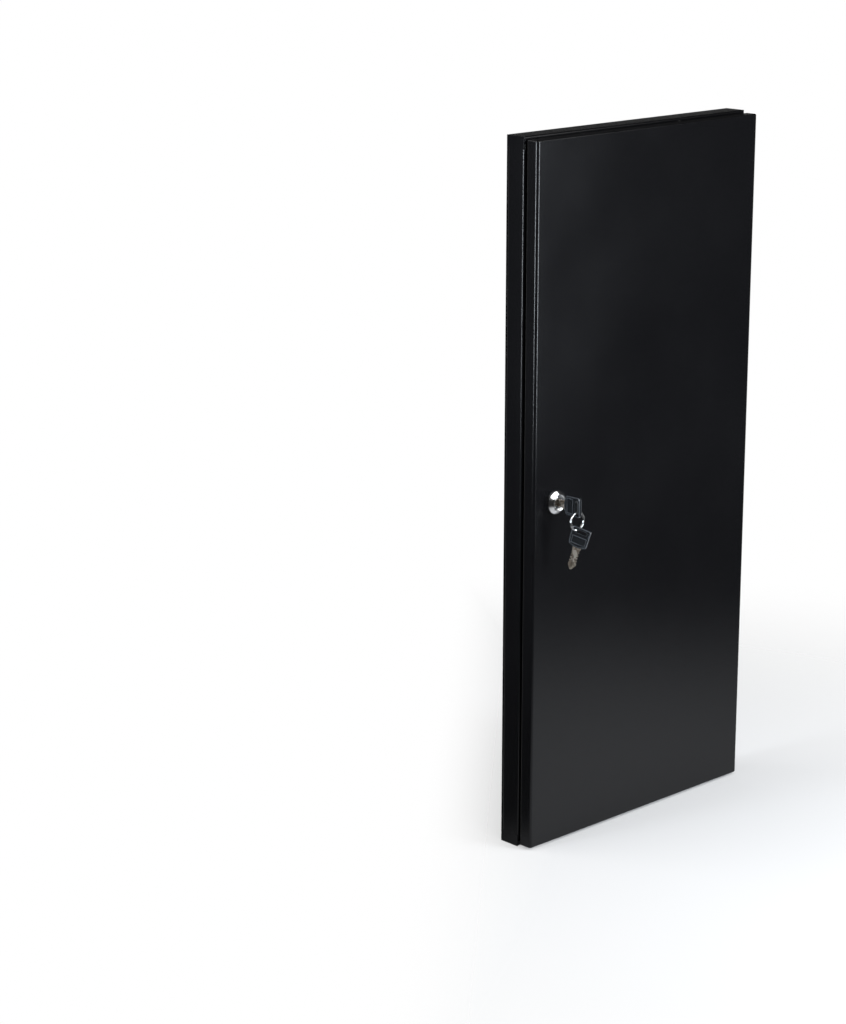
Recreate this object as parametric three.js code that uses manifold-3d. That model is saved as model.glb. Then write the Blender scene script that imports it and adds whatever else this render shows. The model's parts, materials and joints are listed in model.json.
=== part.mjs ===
// A shallow lockable side locker that is bolted on by its back: a frame of folded steel
// channels with a back sheet, a hinged pan door, a cam lock with two keys on a ring, and a
// perforated panel inside for hanging tools.
// Sizes are in millimetres. Seen from the front, +X is to the right, +Y goes back towards what
// it is bolted to and +Z is up. The origin is the centre of the back panel's rear face.

import * as THREE from "three";
import { mergeVertices } from "three/addons/utils/BufferGeometryUtils.js";
import Module from "manifold-3d";

const wasm = await Module();
wasm.setup();

// Overall size
const WIDTH = 323;
const DOOR_HEIGHT = 720;
const CARCASS_HEIGHT = 725;
const DEPTH = 41.5;
const DOOR_DEPTH = 14.2;
const DOOR_GAP = 3.5;
const SHEET = 1;
const SEAM = 0.1;

// Folded edges
const CARCASS_BEND = 2;
const FRONT_FLANGE = 12;
const REAR_FLANGE = 12;
const DOOR_BEND = 3;
const DOOR_LIP_BEND = 1.8;
const DOOR_CORNER = 1.8;
const DOOR_LIP = 15;
const LIP_SLIT = 0.8;

// Door stiffener, a hat section
const HAT_SHEET = 0.8;
const HAT_HEIGHT = 8;
const HAT_HALF_CROWN = 9;
const HAT_HALF_MOUTH = 12;
const HAT_HALF_WIDTH = 25;
const HAT_LENGTH = 660;

// Tool panel and its fixings
const PANEL_WIDTH = 286;
const PANEL_HEIGHT = 680;
const PANEL_FRONT = 11;
const PANEL_RIM = 5;
const HOLE_PITCH = 38;
const HOLE_SIZE = 10;
const HOLE_COLUMNS = 7;
const HOLE_ROWS = 17;
const PANEL_SCREW_X = 133;
const PANEL_SCREW_Z = 323;
const PANEL_SCREW_RADIUS = 2;
const SCREW_CLEARANCE = 0.4;
const SCREW_HEAD = 2.6;
const SCREW_HEAD_EDGE = 1.2;
const SPACER_RADIUS = 5;

// Fixing holes through the back panel, and the holes that a driver reaches them by
const FIXING_X = 95;
const FIXING_Z = 285;
const FIXING_RADIUS = 3.25;
const ACCESS_RADIUS = 8;

// Rubber bumpers on the carcass flange
const BUMPER_RADIUS = 3.5;
const BUMPER_HEIGHT = 3.2;
const BUMPER_EDGE = 1;
const SIDE_BUMPER_INSET = 7.5;
const SIDE_BUMPER_Z = 310;
const END_BUMPER_X = 60;

// Butt hinges on the right edge
const HINGE_HEIGHT = 60;
const HINGE_Z = 250;
const HINGE_OFFSET = 3.2;
const KNUCKLE_RADIUS = 3;
const KNUCKLE_GAP = 0.3;
const PIN_RADIUS = 1.5;
const PIN_BORE = 1.75;
const PIN_HEAD_RADIUS = 2.3;
const PIN_HEAD = 1.2;
const LEAF_SHEET = 1.2;
const LEAF_REACH = 14.5;
const RIVET_X = -9.2;
const FIXED_RIVET_Z = 20;
const MOVING_RIVET_Z = 10;
const RIVET_RADIUS = 1.6;
const RIVET_HOLE = 1.9;
const RIVET_HEAD_RADIUS = 3;
const RIVET_HEAD = 0.45;
const RIVET_TAIL_RADIUS = 2.6;
const RIVET_TAIL = 1.2;

// Cam lock
const LOCK_X = -129.6;
const BEZEL_RADIUS = 12;
const BEZEL_HEIGHT = 4.2;
const BEZEL_RIM = 8.3;
const BEZEL_CREST = 0.6;
const BEZEL_ROUND = 0.3;
const BEZEL_EDGE = 0.8;
const BARREL_RADIUS = 9;
const BARREL_FLAT = 7.8;
const BARREL_LENGTH = 18.6;
const LOCK_CLEARANCE = 0.3;
const PLUG_BORE = 6.5;
const PLUG_RADIUS = 6.2;
const DISH_FLOOR = 2;
const PLUG_FACE = 3.6;
const PLUG_EDGE = 0.3;
const PLUG_LENGTH = 18.9;
const POST_HALF = 3.2;
const WASHER_RADIUS = 12.6;
const WASHER = 1;
const NUT_ACROSS_FLATS = 24;
const NUT = 4;
const CAM_SHEET = 2;
const CAM_START = 19.1;
const CAM_HUB = 8.5;
const CAM_REACH = 27;
const CAM_HALF_WIDTH = 6.5;
const CAM_TIP_RADIUS = 4;
const CAM_WASHER_RADIUS = 5.2;
const CAM_SCREW_RADIUS = 2;
const CAM_SCREW_HEAD_RADIUS = 4.3;
const CAM_SCREW_HEAD = 3;
const CAM_SCREW_LENGTH = 7;
const CAM_SCREW_BORE = 8;

// Keys
const KEY_OUT = 12.9;
const KEYWAY_HALF_WIDTH = 1.4;
const KEYWAY_HALF_HEIGHT = 4.8;
const KEYWAY_DEPTH = 16;
const BLADE_SHEET = 2.2;
const BLADE_HALF_WIDTH = 4.4;
const BLADE_LENGTH = 24.5;
const BLADE_NECK = 3.2;
const BLADE_TIP = 4.5;
const BLADE_TIP_HALF_WIDTH = 0.9;
const GROOVE_DEPTH = 0.5;
const GROOVE_NEAR = 0.2;
const GROOVE_FAR = 1;
const CUT_PITCH = 3;
const CUT_HALF_TOP = 1.2;
const CUT_HALF_FLOOR = 0.45;
const CUT_DEPTHS = [0.6, 1, 1.9, 1.3, 0.4];
const TANG_LENGTH = 6.8;
const TANG_HALF_WIDTH = 2.6;
const TANG_CLEARANCE = 0.3;
const BOW_SHEET = 3.6;
const BOW_LENGTH = 20;
const BOW_HALF_WIDTH = 10.2;
const BOW_THROAT_HALF_WIDTH = 9.6;
const BOW_THROAT = 1.5;
const BOW_BULGE = 2.5;
const BOW_CORNER = 2.4;
const BOW_EDGE = 0.7;
const SLOT_FROM_END = 2.4;
const SLOT_WIDTH = 3.4;
const SLOT_HALF_LENGTH = 6.5;
const PANEL_RECESS = 0.4;
const PANEL_RECESS_START = 2.8;
const PANEL_RECESS_END = 10.6;
const PANEL_RECESS_HALF = 7.6;

// Ring and spare key
const RING_RADIUS = 9;
const RING_RADIAL = 1.3;
const RING_AXIAL = 1.9;
const RING_GROOVE = 0.25;
const RING_DROP = 5.6;
const SPARE_AZIMUTH = -67;
const SPARE_TILT = 15.5;
const SPARE_ACROSS = -4.7;
const SPARE_GAP = 0.7;

// Places along the depth, worked out from the sizes above
const DOOR_FRONT = -DEPTH;
const DOOR_REAR = DOOR_FRONT + DOOR_DEPTH;
const CARCASS_FRONT = DOOR_REAR + DOOR_GAP;
const BACK_FRONT = -SHEET;
const HINGE_X = WIDTH / 2 + HINGE_OFFSET;
const HINGE_Y = (DOOR_REAR + CARCASS_FRONT) / 2;
const SLOT_MIDDLE = BOW_LENGTH - SLOT_FROM_END - SLOT_WIDTH / 2;
const RING_Z = -(SLOT_HALF_LENGTH + BOW_HALF_WIDTH) / 2 - RING_DROP;

// Facets on a quarter turn
const FEW = 2;
const MORE = 4;
const ROUND = 24;
const SMALL_ROUND = 14;
const RING_ROUND = 36;

// How far a cutting tool runs past the face it cuts, and how near vertices are to be one
const OVERCUT = 1;
const MERGE = 1e-4;

const FINISHES = {
  powderCoat: { color: 0x1b1c1e, roughness: 0.5, metalness: 0.2 },
  zinc: { color: 0xb4b6b5, roughness: 0.4, metalness: 1 },
  chrome: { color: 0xd8d9da, roughness: 0.12, metalness: 1 },
  nickel: { color: 0xb9ad94, roughness: 0.3, metalness: 1 },
  blackPlastic: { color: 0x151516, roughness: 0.45, metalness: 0 },
  rubber: { color: 0x101010, roughness: 0.8, metalness: 0 },
};

// Booleans

function solidOf(geometry) {
  const bare = geometry.clone();
  bare.deleteAttribute("normal");
  bare.deleteAttribute("uv");
  const merged = mergeVertices(bare, MERGE);
  return new wasm.Manifold(
    new wasm.Mesh({
      numProp: 3,
      vertProperties: new Float32Array(merged.attributes.position.array),
      triVerts: new Uint32Array(merged.index.array),
    }),
  );
}

function geometryOf(solid) {
  const mesh = solid.getMesh();
  const geometry = new THREE.BufferGeometry();
  geometry.setAttribute("position", new THREE.BufferAttribute(mesh.vertProperties, 3));
  geometry.setIndex(new THREE.BufferAttribute(mesh.triVerts, 1));
  return geometry;
}

function join(...geometries) {
  const solids = geometries.map(solidOf);
  return geometryOf(solids.reduce((whole, piece) => whole.add(piece)));
}

function cut(geometry, ...tools) {
  const start = solidOf(geometry);
  return geometryOf(tools.map(solidOf).reduce((left, tool) => left.subtract(tool), start));
}

function common(...geometries) {
  const solids = geometries.map(solidOf);
  return geometryOf(solids.reduce((shared, piece) => shared.intersect(piece)));
}

// Basic shapes

function block(x0, x1, y0, y1, z0, z1) {
  const geometry = new THREE.BoxGeometry(x1 - x0, y1 - y0, z1 - z0);
  return geometry.translate((x0 + x1) / 2, (y0 + y1) / 2, (z0 + z1) / 2);
}

// A round bar along Y, the way a lock, screw or rivet points.
function rodY(radius, y0, y1, x = 0, z = 0, sides = ROUND) {
  const geometry = new THREE.CylinderGeometry(radius, radius, y1 - y0, sides);
  return geometry.translate(x, (y0 + y1) / 2, z);
}

function rodZ(radius, z0, z1) {
  const geometry = new THREE.CylinderGeometry(radius, radius, z1 - z0, ROUND);
  return geometry.rotateX(Math.PI / 2).translate(0, 0, (z0 + z1) / 2);
}

// A turned piece about Y from [radius, y] pairs, listed with the material on their left.
function turned(pairs, sides = ROUND) {
  const profile = pairs.map(([radius, y]) => new THREE.Vector2(radius, y));
  return new THREE.LatheGeometry(profile, sides);
}

function roundRing(outer, inner, y0, y1, sides = ROUND) {
  return turned([[inner, y0], [outer, y0], [outer, y1], [inner, y1], [inner, y0]], sides);
}

function circlePath(x, y, radius, Kind = THREE.Path) {
  const path = new Kind();
  for (let quarter = 0; quarter < 4; quarter += 1) {
    path.absarc(x, y, radius, (quarter * Math.PI) / 2, ((quarter + 1) * Math.PI) / 2);
  }
  return path;
}

function rectanglePath(x0, x1, y0, y1, Kind = THREE.Path) {
  const path = new Kind();
  path.moveTo(x0, y0);
  path.lineTo(x1, y0);
  path.lineTo(x1, y1);
  path.lineTo(x0, y1);
  path.closePath();
  return path;
}

// A rectangle whose lower and upper corners have their own radii.
function roundedRectangle(x0, x1, y0, y1, lower, upper = lower) {
  const shape = new THREE.Shape();
  shape.absarc(x1 - lower, y0 + lower, lower, -Math.PI / 2, 0);
  shape.absarc(x1 - upper, y1 - upper, upper, 0, Math.PI / 2);
  shape.absarc(x0 + upper, y1 - upper, upper, Math.PI / 2, Math.PI);
  shape.absarc(x0 + lower, y0 + lower, lower, Math.PI, 1.5 * Math.PI);
  return shape;
}

function extruded(shape, depth, facets = FEW) {
  return new THREE.ExtrudeGeometry(shape, { depth, bevelEnabled: false, curveSegments: facets });
}

// A sheet drawn in X and Z, from y = front to the sheet's thickness behind it.
function sheetAt(shape, front, thickness, facets = FEW) {
  return extruded(shape, thickness, facets).rotateX(Math.PI / 2).translate(0, front + thickness, 0);
}

// Carcass

// A folded channel: front flange, web and rear flange, with the web's outer face at x = 0.
function channelSection(depth) {
  const inner = CARCASS_BEND - SHEET;
  const rearBend = depth - CARCASS_BEND;
  const shape = new THREE.Shape();
  shape.moveTo(FRONT_FLANGE, SHEET);
  shape.lineTo(FRONT_FLANGE, 0);
  shape.absarc(CARCASS_BEND, CARCASS_BEND, CARCASS_BEND, 1.5 * Math.PI, Math.PI, true);
  shape.absarc(CARCASS_BEND, rearBend, CARCASS_BEND, Math.PI, Math.PI / 2, true);
  shape.lineTo(REAR_FLANGE, depth);
  shape.lineTo(REAR_FLANGE, depth - SHEET);
  shape.absarc(CARCASS_BEND, rearBend, inner, Math.PI / 2, Math.PI);
  shape.absarc(CARCASS_BEND, CARCASS_BEND, inner, Math.PI, 1.5 * Math.PI);
  return shape;
}

// A rail as it stands on the left, its web's outer face at x = -span.
function rail(span, length) {
  const section = channelSection(BACK_FRONT - SEAM - CARCASS_FRONT);
  return extruded(section, length).translate(-span, CARCASS_FRONT, -length / 2);
}

// The flanges of a side rail stop short, so that those of the top and bottom rails fill the corners.
function sideRail(...holes) {
  const span = WIDTH / 2;
  const end = CARCASS_HEIGHT / 2 + OVERCUT;
  const notch = CARCASS_HEIGHT / 2 - FRONT_FLANGE - SEAM;
  const upper = block(-span + SHEET, 0, CARCASS_FRONT - OVERCUT, 0, notch, end);
  const lower = block(-span + SHEET, 0, CARCASS_FRONT - OVERCUT, 0, -end, -notch);
  return cut(rail(span, CARCASS_HEIGHT), upper, lower, ...holes);
}

function rightRail() {
  const holes = [];
  for (const hinge of [-HINGE_Z, HINGE_Z]) {
    for (const side of [-FIXED_RIVET_Z, FIXED_RIVET_Z]) {
      const x = -(HINGE_X + RIVET_X);
      const rear = CARCASS_FRONT + SHEET + OVERCUT;
      holes.push(rodY(RIVET_HOLE, CARCASS_FRONT - OVERCUT, rear, x, hinge + side, SMALL_ROUND));
    }
  }
  return sideRail(...holes);
}

function endRail() {
  return rail(CARCASS_HEIGHT / 2, WIDTH - 2 * (SHEET + SEAM));
}

function atCorners(x, z) {
  return [[-x, z], [x, z], [-x, -z], [x, -z]];
}

function backPanel() {
  const shape = rectanglePath(-WIDTH / 2, WIDTH / 2, -CARCASS_HEIGHT / 2, CARCASS_HEIGHT / 2, THREE.Shape);
  for (const [x, z] of atCorners(FIXING_X, FIXING_Z)) {
    shape.holes.push(circlePath(x, z, FIXING_RADIUS));
  }
  for (const [x, z] of atCorners(PANEL_SCREW_X, PANEL_SCREW_Z)) {
    shape.holes.push(circlePath(x, z, PANEL_SCREW_RADIUS + SCREW_CLEARANCE));
  }
  return sheetAt(shape, BACK_FRONT, SHEET);
}

// A tray with its edges folded back and square holes through its face.
function toolPanel() {
  const halfWidth = PANEL_WIDTH / 2;
  const halfHeight = PANEL_HEIGHT / 2;
  const half = HOLE_SIZE / 2;
  const front = -PANEL_FRONT;
  const rear = front + PANEL_RIM;
  const tray = block(-halfWidth, halfWidth, front, rear, -halfHeight, halfHeight);
  const [insideX, insideZ] = [halfWidth - SHEET, halfHeight - SHEET];
  const hollow = block(-insideX, insideX, front + SHEET, rear + OVERCUT, -insideZ, insideZ);
  const holes = [];
  for (let column = 0; column < HOLE_COLUMNS; column += 1) {
    for (let row = 0; row < HOLE_ROWS; row += 1) {
      const x = (column - (HOLE_COLUMNS - 1) / 2) * HOLE_PITCH;
      const z = (row - (HOLE_ROWS - 1) / 2) * HOLE_PITCH;
      holes.push(rectanglePath(x - half, x + half, z - half, z + half, THREE.Shape));
    }
  }
  for (const [x, z] of atCorners(FIXING_X, FIXING_Z)) {
    holes.push(circlePath(x, z, ACCESS_RADIUS, THREE.Shape));
  }
  for (const [x, z] of atCorners(PANEL_SCREW_X, PANEL_SCREW_Z)) {
    holes.push(circlePath(x, z, PANEL_SCREW_RADIUS + SCREW_CLEARANCE, THREE.Shape));
  }
  return cut(tray, hollow, sheetAt(holes, front - OVERCUT, SHEET + 2 * OVERCUT));
}

function panelSpacer() {
  const bore = PANEL_SCREW_RADIUS + SCREW_CLEARANCE;
  const front = SHEET + SEAM - PANEL_FRONT;
  return roundRing(SPACER_RADIUS, bore, front, BACK_FRONT - SEAM, SMALL_ROUND);
}

// A pan-head screw: the head stands in front of the panel and the shank ends inside the back panel.
function panelScrew() {
  const seat = -PANEL_FRONT - SEAM;
  const head = 2 * PANEL_SCREW_RADIUS;
  return turned(
    [
      [0, seat - SCREW_HEAD],
      [head - SCREW_HEAD_EDGE, seat - SCREW_HEAD],
      [head, seat - SCREW_HEAD + SCREW_HEAD_EDGE],
      [head, seat],
      [PANEL_SCREW_RADIUS, seat],
      [PANEL_SCREW_RADIUS, -SHEET / 2],
      [0, -SHEET / 2],
    ],
    SMALL_ROUND,
  );
}

// A round rubber button with a soft edge, its base on y = 0 and its top towards the door.
function bumper() {
  return turned(
    [
      [0, -BUMPER_HEIGHT],
      [BUMPER_RADIUS - 2 * BUMPER_EDGE, -BUMPER_HEIGHT],
      [BUMPER_RADIUS - BUMPER_EDGE / 2, -BUMPER_HEIGHT + BUMPER_EDGE],
      [BUMPER_RADIUS, 0],
      [0, 0],
    ],
    SMALL_ROUND,
  );
}

// Door

// A block with its front at y = 0, rounded along its front, rear and side edges.
function roundedBlock(width, depth, height, front, rear, corner) {
  const spare = 2 * OVERCUT;
  const outline = roundedRectangle(-width / 2, width / 2, -height / 2, height / 2, corner);
  const across = roundedRectangle(-width / 2, width / 2, 0, depth, front, rear);
  const upright = roundedRectangle(-height / 2, height / 2, 0, depth, front, rear);
  const alongZ = extruded(across, height + spare).translate(0, 0, -(height + spare) / 2);
  const alongX = extruded(upright, width + spare).translate(0, 0, -(width + spare) / 2);
  return common(sheetAt(outline, 0, depth), alongZ, alongX.rotateY(Math.PI / 2));
}

// The slits at the corners of the lip, where its four sides meet on a mitre.
function lipSlits() {
  const start = DOOR_LIP_BEND * 2;
  const length = (DOOR_LIP - start) * Math.SQRT2 + OVERCUT;
  const middle = (DOOR_LIP + start) / 2;
  const slits = [];
  for (const [x, z] of atCorners(1, 1)) {
    const slit = new THREE.BoxGeometry(LIP_SLIT, 4 * SHEET, length);
    slit.rotateY((x * z * Math.PI) / 4);
    slit.translate(x * (WIDTH / 2 - middle), DOOR_DEPTH, z * (DOOR_HEIGHT / 2 - middle));
    slits.push(slit);
  }
  return slits;
}

// The round hole with two flats that keeps the lock from turning in the sheet.
function lockHole(front, rear) {
  const flat = BARREL_FLAT + LOCK_CLEARANCE;
  const round = rodY(BARREL_RADIUS + LOCK_CLEARANCE, front, rear);
  return common(round, block(-BARREL_RADIUS * 2, BARREL_RADIUS * 2, front, rear, -flat, flat));
}

function doorSkin() {
  const inner = roundedBlock(
    WIDTH - 2 * SHEET,
    DOOR_DEPTH - 2 * SHEET,
    DOOR_HEIGHT - 2 * SHEET,
    DOOR_BEND - SHEET,
    DOOR_LIP_BEND - SHEET,
    DOOR_CORNER - SHEET,
  ).translate(0, SHEET, 0);
  const mouthX = WIDTH / 2 - DOOR_LIP;
  const mouthZ = DOOR_HEIGHT / 2 - DOOR_LIP;
  const mouth = block(-mouthX, mouthX, DOOR_DEPTH / 2, DOOR_DEPTH + SHEET, -mouthZ, mouthZ);
  const holes = [lockHole(-OVERCUT, SHEET + OVERCUT).translate(LOCK_X, 0, 0)];
  for (const hinge of [-HINGE_Z, HINGE_Z]) {
    for (const side of [-MOVING_RIVET_Z, MOVING_RIVET_Z]) {
      const x = HINGE_X + RIVET_X;
      const front = DOOR_DEPTH - SHEET - OVERCUT;
      holes.push(rodY(RIVET_HOLE, front, DOOR_DEPTH + OVERCUT, x, hinge + side, SMALL_ROUND));
    }
  }
  const outer = roundedBlock(WIDTH, DOOR_DEPTH, DOOR_HEIGHT, DOOR_BEND, DOOR_LIP_BEND, DOOR_CORNER);
  return cut(outer, inner, mouth, ...lipSlits(), ...holes);
}

// A hat section with its flanges on y = 0, against the inside of the door's front.
function doorStiffener() {
  const half = [
    [HAT_HALF_WIDTH, 0],
    [HAT_HALF_WIDTH, HAT_SHEET],
    [HAT_HALF_MOUTH + HAT_SHEET, HAT_SHEET],
    [HAT_HALF_CROWN + HAT_SHEET, HAT_HEIGHT],
  ];
  const hollow = [
    [HAT_HALF_CROWN, HAT_HEIGHT - HAT_SHEET],
    [HAT_HALF_MOUTH, 0],
  ];
  const mirrored = (points) => points.map(([x, y]) => [-x, y]).reverse();
  const outline = [...half, ...mirrored(half), ...mirrored(hollow), ...hollow];
  const shape = new THREE.Shape(outline.map(([x, y]) => new THREE.Vector2(x, y)));
  return extruded(shape, HAT_LENGTH).translate(0, 0, -HAT_LENGTH / 2);
}

// Hinges, about their own pin axis

// One leaf: a plate with its knuckles. The fixed leaf lies behind the axis, the moving one before it.
function hingeLeaf(knuckles, behind, rivetZ) {
  const face = DOOR_GAP / 2 - SEAM / 2;
  const half = HINGE_HEIGHT / 2;
  const [y0, y1] = behind ? [face - LEAF_SHEET, face] : [-face, LEAF_SHEET - face];
  const plateEnd = -KNUCKLE_RADIUS - KNUCKLE_GAP;
  let leaf = block(-LEAF_REACH, plateEnd, y0, y1, -half, half);
  for (const [z0, z1] of knuckles) {
    leaf = join(leaf, block(plateEnd - OVERCUT, 0, y0, y1, z0, z1), rodZ(KNUCKLE_RADIUS, z0, z1));
  }
  const [front, rear] = [y0 - OVERCUT, y1 + OVERCUT];
  const rivetHoles = [-rivetZ, rivetZ].map((z) => rodY(RIVET_HOLE, front, rear, RIVET_X, z, SMALL_ROUND));
  return cut(leaf, rodZ(PIN_BORE, -half - OVERCUT, half + OVERCUT), ...rivetHoles);
}

function fixedLeaf() {
  const half = HINGE_HEIGHT / 2;
  const knuckle = HINGE_HEIGHT / 6;
  return hingeLeaf([[-half, -knuckle], [knuckle, half]], true, FIXED_RIVET_Z);
}

function movingLeaf() {
  const knuckle = HINGE_HEIGHT / 6 - KNUCKLE_GAP;
  return hingeLeaf([[-knuckle, knuckle]], false, MOVING_RIVET_Z);
}

function hingePin() {
  const end = HINGE_HEIGHT / 2 + SEAM;
  const profile = [
    [0, -end - PIN_HEAD],
    [PIN_HEAD_RADIUS, -end - PIN_HEAD],
    [PIN_HEAD_RADIUS, -end],
    [PIN_RADIUS, -end],
    [PIN_RADIUS, end],
    [PIN_HEAD_RADIUS, end],
    [PIN_HEAD_RADIUS, end + PIN_HEAD],
    [0, end + PIN_HEAD],
  ];
  return turned(profile).rotateX(Math.PI / 2);
}

// A rivet with its flat head between the leaves and its formed tail behind the flange.
function rivet() {
  const tail = DOOR_GAP / 2 + SHEET + SEAM;
  return turned(
    [
      [0, 0],
      [RIVET_HEAD_RADIUS, 0],
      [RIVET_HEAD_RADIUS, RIVET_HEAD],
      [RIVET_RADIUS, RIVET_HEAD],
      [RIVET_RADIUS, tail],
      [RIVET_TAIL_RADIUS, tail],
      [RIVET_TAIL_RADIUS, tail + RIVET_TAIL / 2],
      [RIVET_TAIL_RADIUS - RIVET_TAIL / 2, tail + RIVET_TAIL],
      [0, tail + RIVET_TAIL],
    ],
    SMALL_ROUND,
  );
}

// Lock, about its own axis with y = 0 on the door's front face

function lockHousing() {
  const seat = -SEAM / 2;
  const body = turned([
    [PLUG_BORE, -DISH_FLOOR],
    [BEZEL_RIM - BEZEL_CREST, -BEZEL_HEIGHT + BEZEL_ROUND],
    [BEZEL_RIM, -BEZEL_HEIGHT],
    [BEZEL_RIM + BEZEL_CREST, -BEZEL_HEIGHT + BEZEL_ROUND],
    [BEZEL_RADIUS - BEZEL_ROUND, seat - BEZEL_EDGE - BEZEL_ROUND],
    [BEZEL_RADIUS, seat - BEZEL_EDGE],
    [BEZEL_RADIUS, seat],
    [BARREL_RADIUS, seat],
    [BARREL_RADIUS, BARREL_LENGTH],
    [PLUG_BORE, BARREL_LENGTH],
    [PLUG_BORE, -DISH_FLOOR],
  ]);
  const far = BARREL_RADIUS * 2;
  const above = block(-far, far, seat, far * 2, BARREL_FLAT, far);
  const below = block(-far, far, seat, far * 2, -far, -BARREL_FLAT);
  return cut(body, above, below);
}

function lockWasher() {
  const front = SHEET + SEAM;
  return roundRing(WASHER_RADIUS, BARREL_RADIUS + LOCK_CLEARANCE, front, front + WASHER);
}

function lockNut() {
  const front = SHEET + WASHER + 2 * SEAM;
  const corner = NUT_ACROSS_FLATS / Math.sqrt(3);
  const hexagon = rodY(corner, front, front + NUT, 0, 0, 6);
  return cut(hexagon, rodY(BARREL_RADIUS + LOCK_CLEARANCE, front - OVERCUT, front + NUT + OVERCUT));
}

function lockPlug() {
  const end = CAM_START + CAM_SHEET - SEAM;
  const core = turned([
    [0, -PLUG_FACE],
    [PLUG_RADIUS - PLUG_EDGE, -PLUG_FACE],
    [PLUG_RADIUS, PLUG_EDGE - PLUG_FACE],
    [PLUG_RADIUS, PLUG_LENGTH],
    [0, PLUG_LENGTH],
  ]);
  const post = block(-POST_HALF, POST_HALF, PLUG_LENGTH - OVERCUT, end, -POST_HALF, POST_HALF);
  const keyway = block(
    -KEYWAY_HALF_WIDTH,
    KEYWAY_HALF_WIDTH,
    -PLUG_FACE - OVERCUT,
    KEYWAY_DEPTH - PLUG_FACE,
    -KEYWAY_HALF_HEIGHT,
    KEYWAY_HALF_HEIGHT,
  );
  const bottom = end - CAM_SCREW_BORE;
  const bore = rodY(CAM_SCREW_RADIUS + SCREW_CLEARANCE, bottom, end + OVERCUT, 0, 0, SMALL_ROUND);
  return cut(join(core, post), keyway, bore);
}

// The cam hangs down when unlocked, so a quarter turn brings it behind the left flange.
function lockCam() {
  const hubAngle = Math.acos(CAM_HALF_WIDTH / CAM_HUB);
  const corner = CAM_HALF_WIDTH - CAM_TIP_RADIUS;
  const tip = CAM_TIP_RADIUS - CAM_REACH;
  const hole = POST_HALF + SEAM;
  const shape = new THREE.Shape();
  shape.absarc(0, 0, CAM_HUB, -hubAngle, Math.PI / 2);
  shape.absarc(0, 0, CAM_HUB, Math.PI / 2, Math.PI + hubAngle);
  shape.absarc(-corner, tip, CAM_TIP_RADIUS, Math.PI, 1.5 * Math.PI);
  shape.absarc(corner, tip, CAM_TIP_RADIUS, 1.5 * Math.PI, 2 * Math.PI);
  shape.holes.push(rectanglePath(-hole, hole, -hole, hole));
  return sheetAt(shape, CAM_START, CAM_SHEET, MORE);
}

function camWasher() {
  const front = CAM_START + CAM_SHEET + SEAM;
  return roundRing(CAM_WASHER_RADIUS, CAM_SCREW_RADIUS + SCREW_CLEARANCE, front, front + WASHER, SMALL_ROUND);
}

function camScrew() {
  const seat = CAM_START + CAM_SHEET + WASHER + 2 * SEAM;
  return turned(
    [
      [0, seat - CAM_SCREW_LENGTH],
      [CAM_SCREW_RADIUS, seat - CAM_SCREW_LENGTH],
      [CAM_SCREW_RADIUS, seat],
      [CAM_SCREW_HEAD_RADIUS, seat],
      [CAM_SCREW_HEAD_RADIUS, seat + CAM_SCREW_HEAD - SCREW_HEAD_EDGE],
      [CAM_SCREW_HEAD_RADIUS - SCREW_HEAD_EDGE, seat + CAM_SCREW_HEAD],
      [0, seat + CAM_SCREW_HEAD],
    ],
    SMALL_ROUND,
  );
}

// Keys, drawn along the blade: the blade points to +Y, the bow to -Y and the width runs along Z

function standOnEdge(geometry) {
  const turn = new THREE.Matrix4();
  turn.makeBasis(new THREE.Vector3(0, 1, 0), new THREE.Vector3(0, 0, 1), new THREE.Vector3(1, 0, 0));
  return geometry.applyMatrix4(turn);
}

// Both edges of the blade carry the same cuts.
function bladeEdge() {
  const edge = [
    [-TANG_LENGTH, TANG_HALF_WIDTH],
    [0, TANG_HALF_WIDTH],
    [0, BLADE_HALF_WIDTH],
  ];
  CUT_DEPTHS.forEach((depth, place) => {
    const middle = BLADE_NECK + (place + 0.5) * CUT_PITCH;
    edge.push([middle - CUT_HALF_TOP, BLADE_HALF_WIDTH]);
    edge.push([middle - CUT_HALF_FLOOR, BLADE_HALF_WIDTH - depth]);
    edge.push([middle + CUT_HALF_FLOOR, BLADE_HALF_WIDTH - depth]);
    edge.push([middle + CUT_HALF_TOP, BLADE_HALF_WIDTH]);
  });
  edge.push([BLADE_LENGTH - BLADE_TIP, BLADE_HALF_WIDTH]);
  edge.push([BLADE_LENGTH, BLADE_TIP_HALF_WIDTH]);
  return edge;
}

function keyBlade() {
  const edge = bladeEdge();
  const other = edge.map(([along, across]) => [along, -across]).reverse();
  const outline = [...edge, ...other];
  const shape = new THREE.Shape(outline.map(([along, across]) => new THREE.Vector2(along, across)));
  const blade = standOnEdge(extruded(shape, BLADE_SHEET).translate(0, 0, -BLADE_SHEET / 2));
  const face = BLADE_SHEET / 2;
  const start = BLADE_NECK / 2;
  const end = BLADE_LENGTH + OVERCUT;
  const left = block(-face - OVERCUT, GROOVE_DEPTH - face, start, end, -GROOVE_NEAR, GROOVE_FAR);
  const right = block(face - GROOVE_DEPTH, face + OVERCUT, start, end, -GROOVE_FAR, GROOVE_NEAR);
  return cut(blade, left, right);
}

function slotPath(x0, x1, half) {
  const radius = (x1 - x0) / 2;
  const middle = (x0 + x1) / 2;
  const path = new THREE.Path();
  for (const [centre, start] of [[half - radius, 0], [radius - half, Math.PI]]) {
    path.absarc(middle, centre, radius, start, start + Math.PI / 2);
    path.absarc(middle, centre, radius, start + Math.PI / 2, start + Math.PI);
  }
  return path;
}

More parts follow.
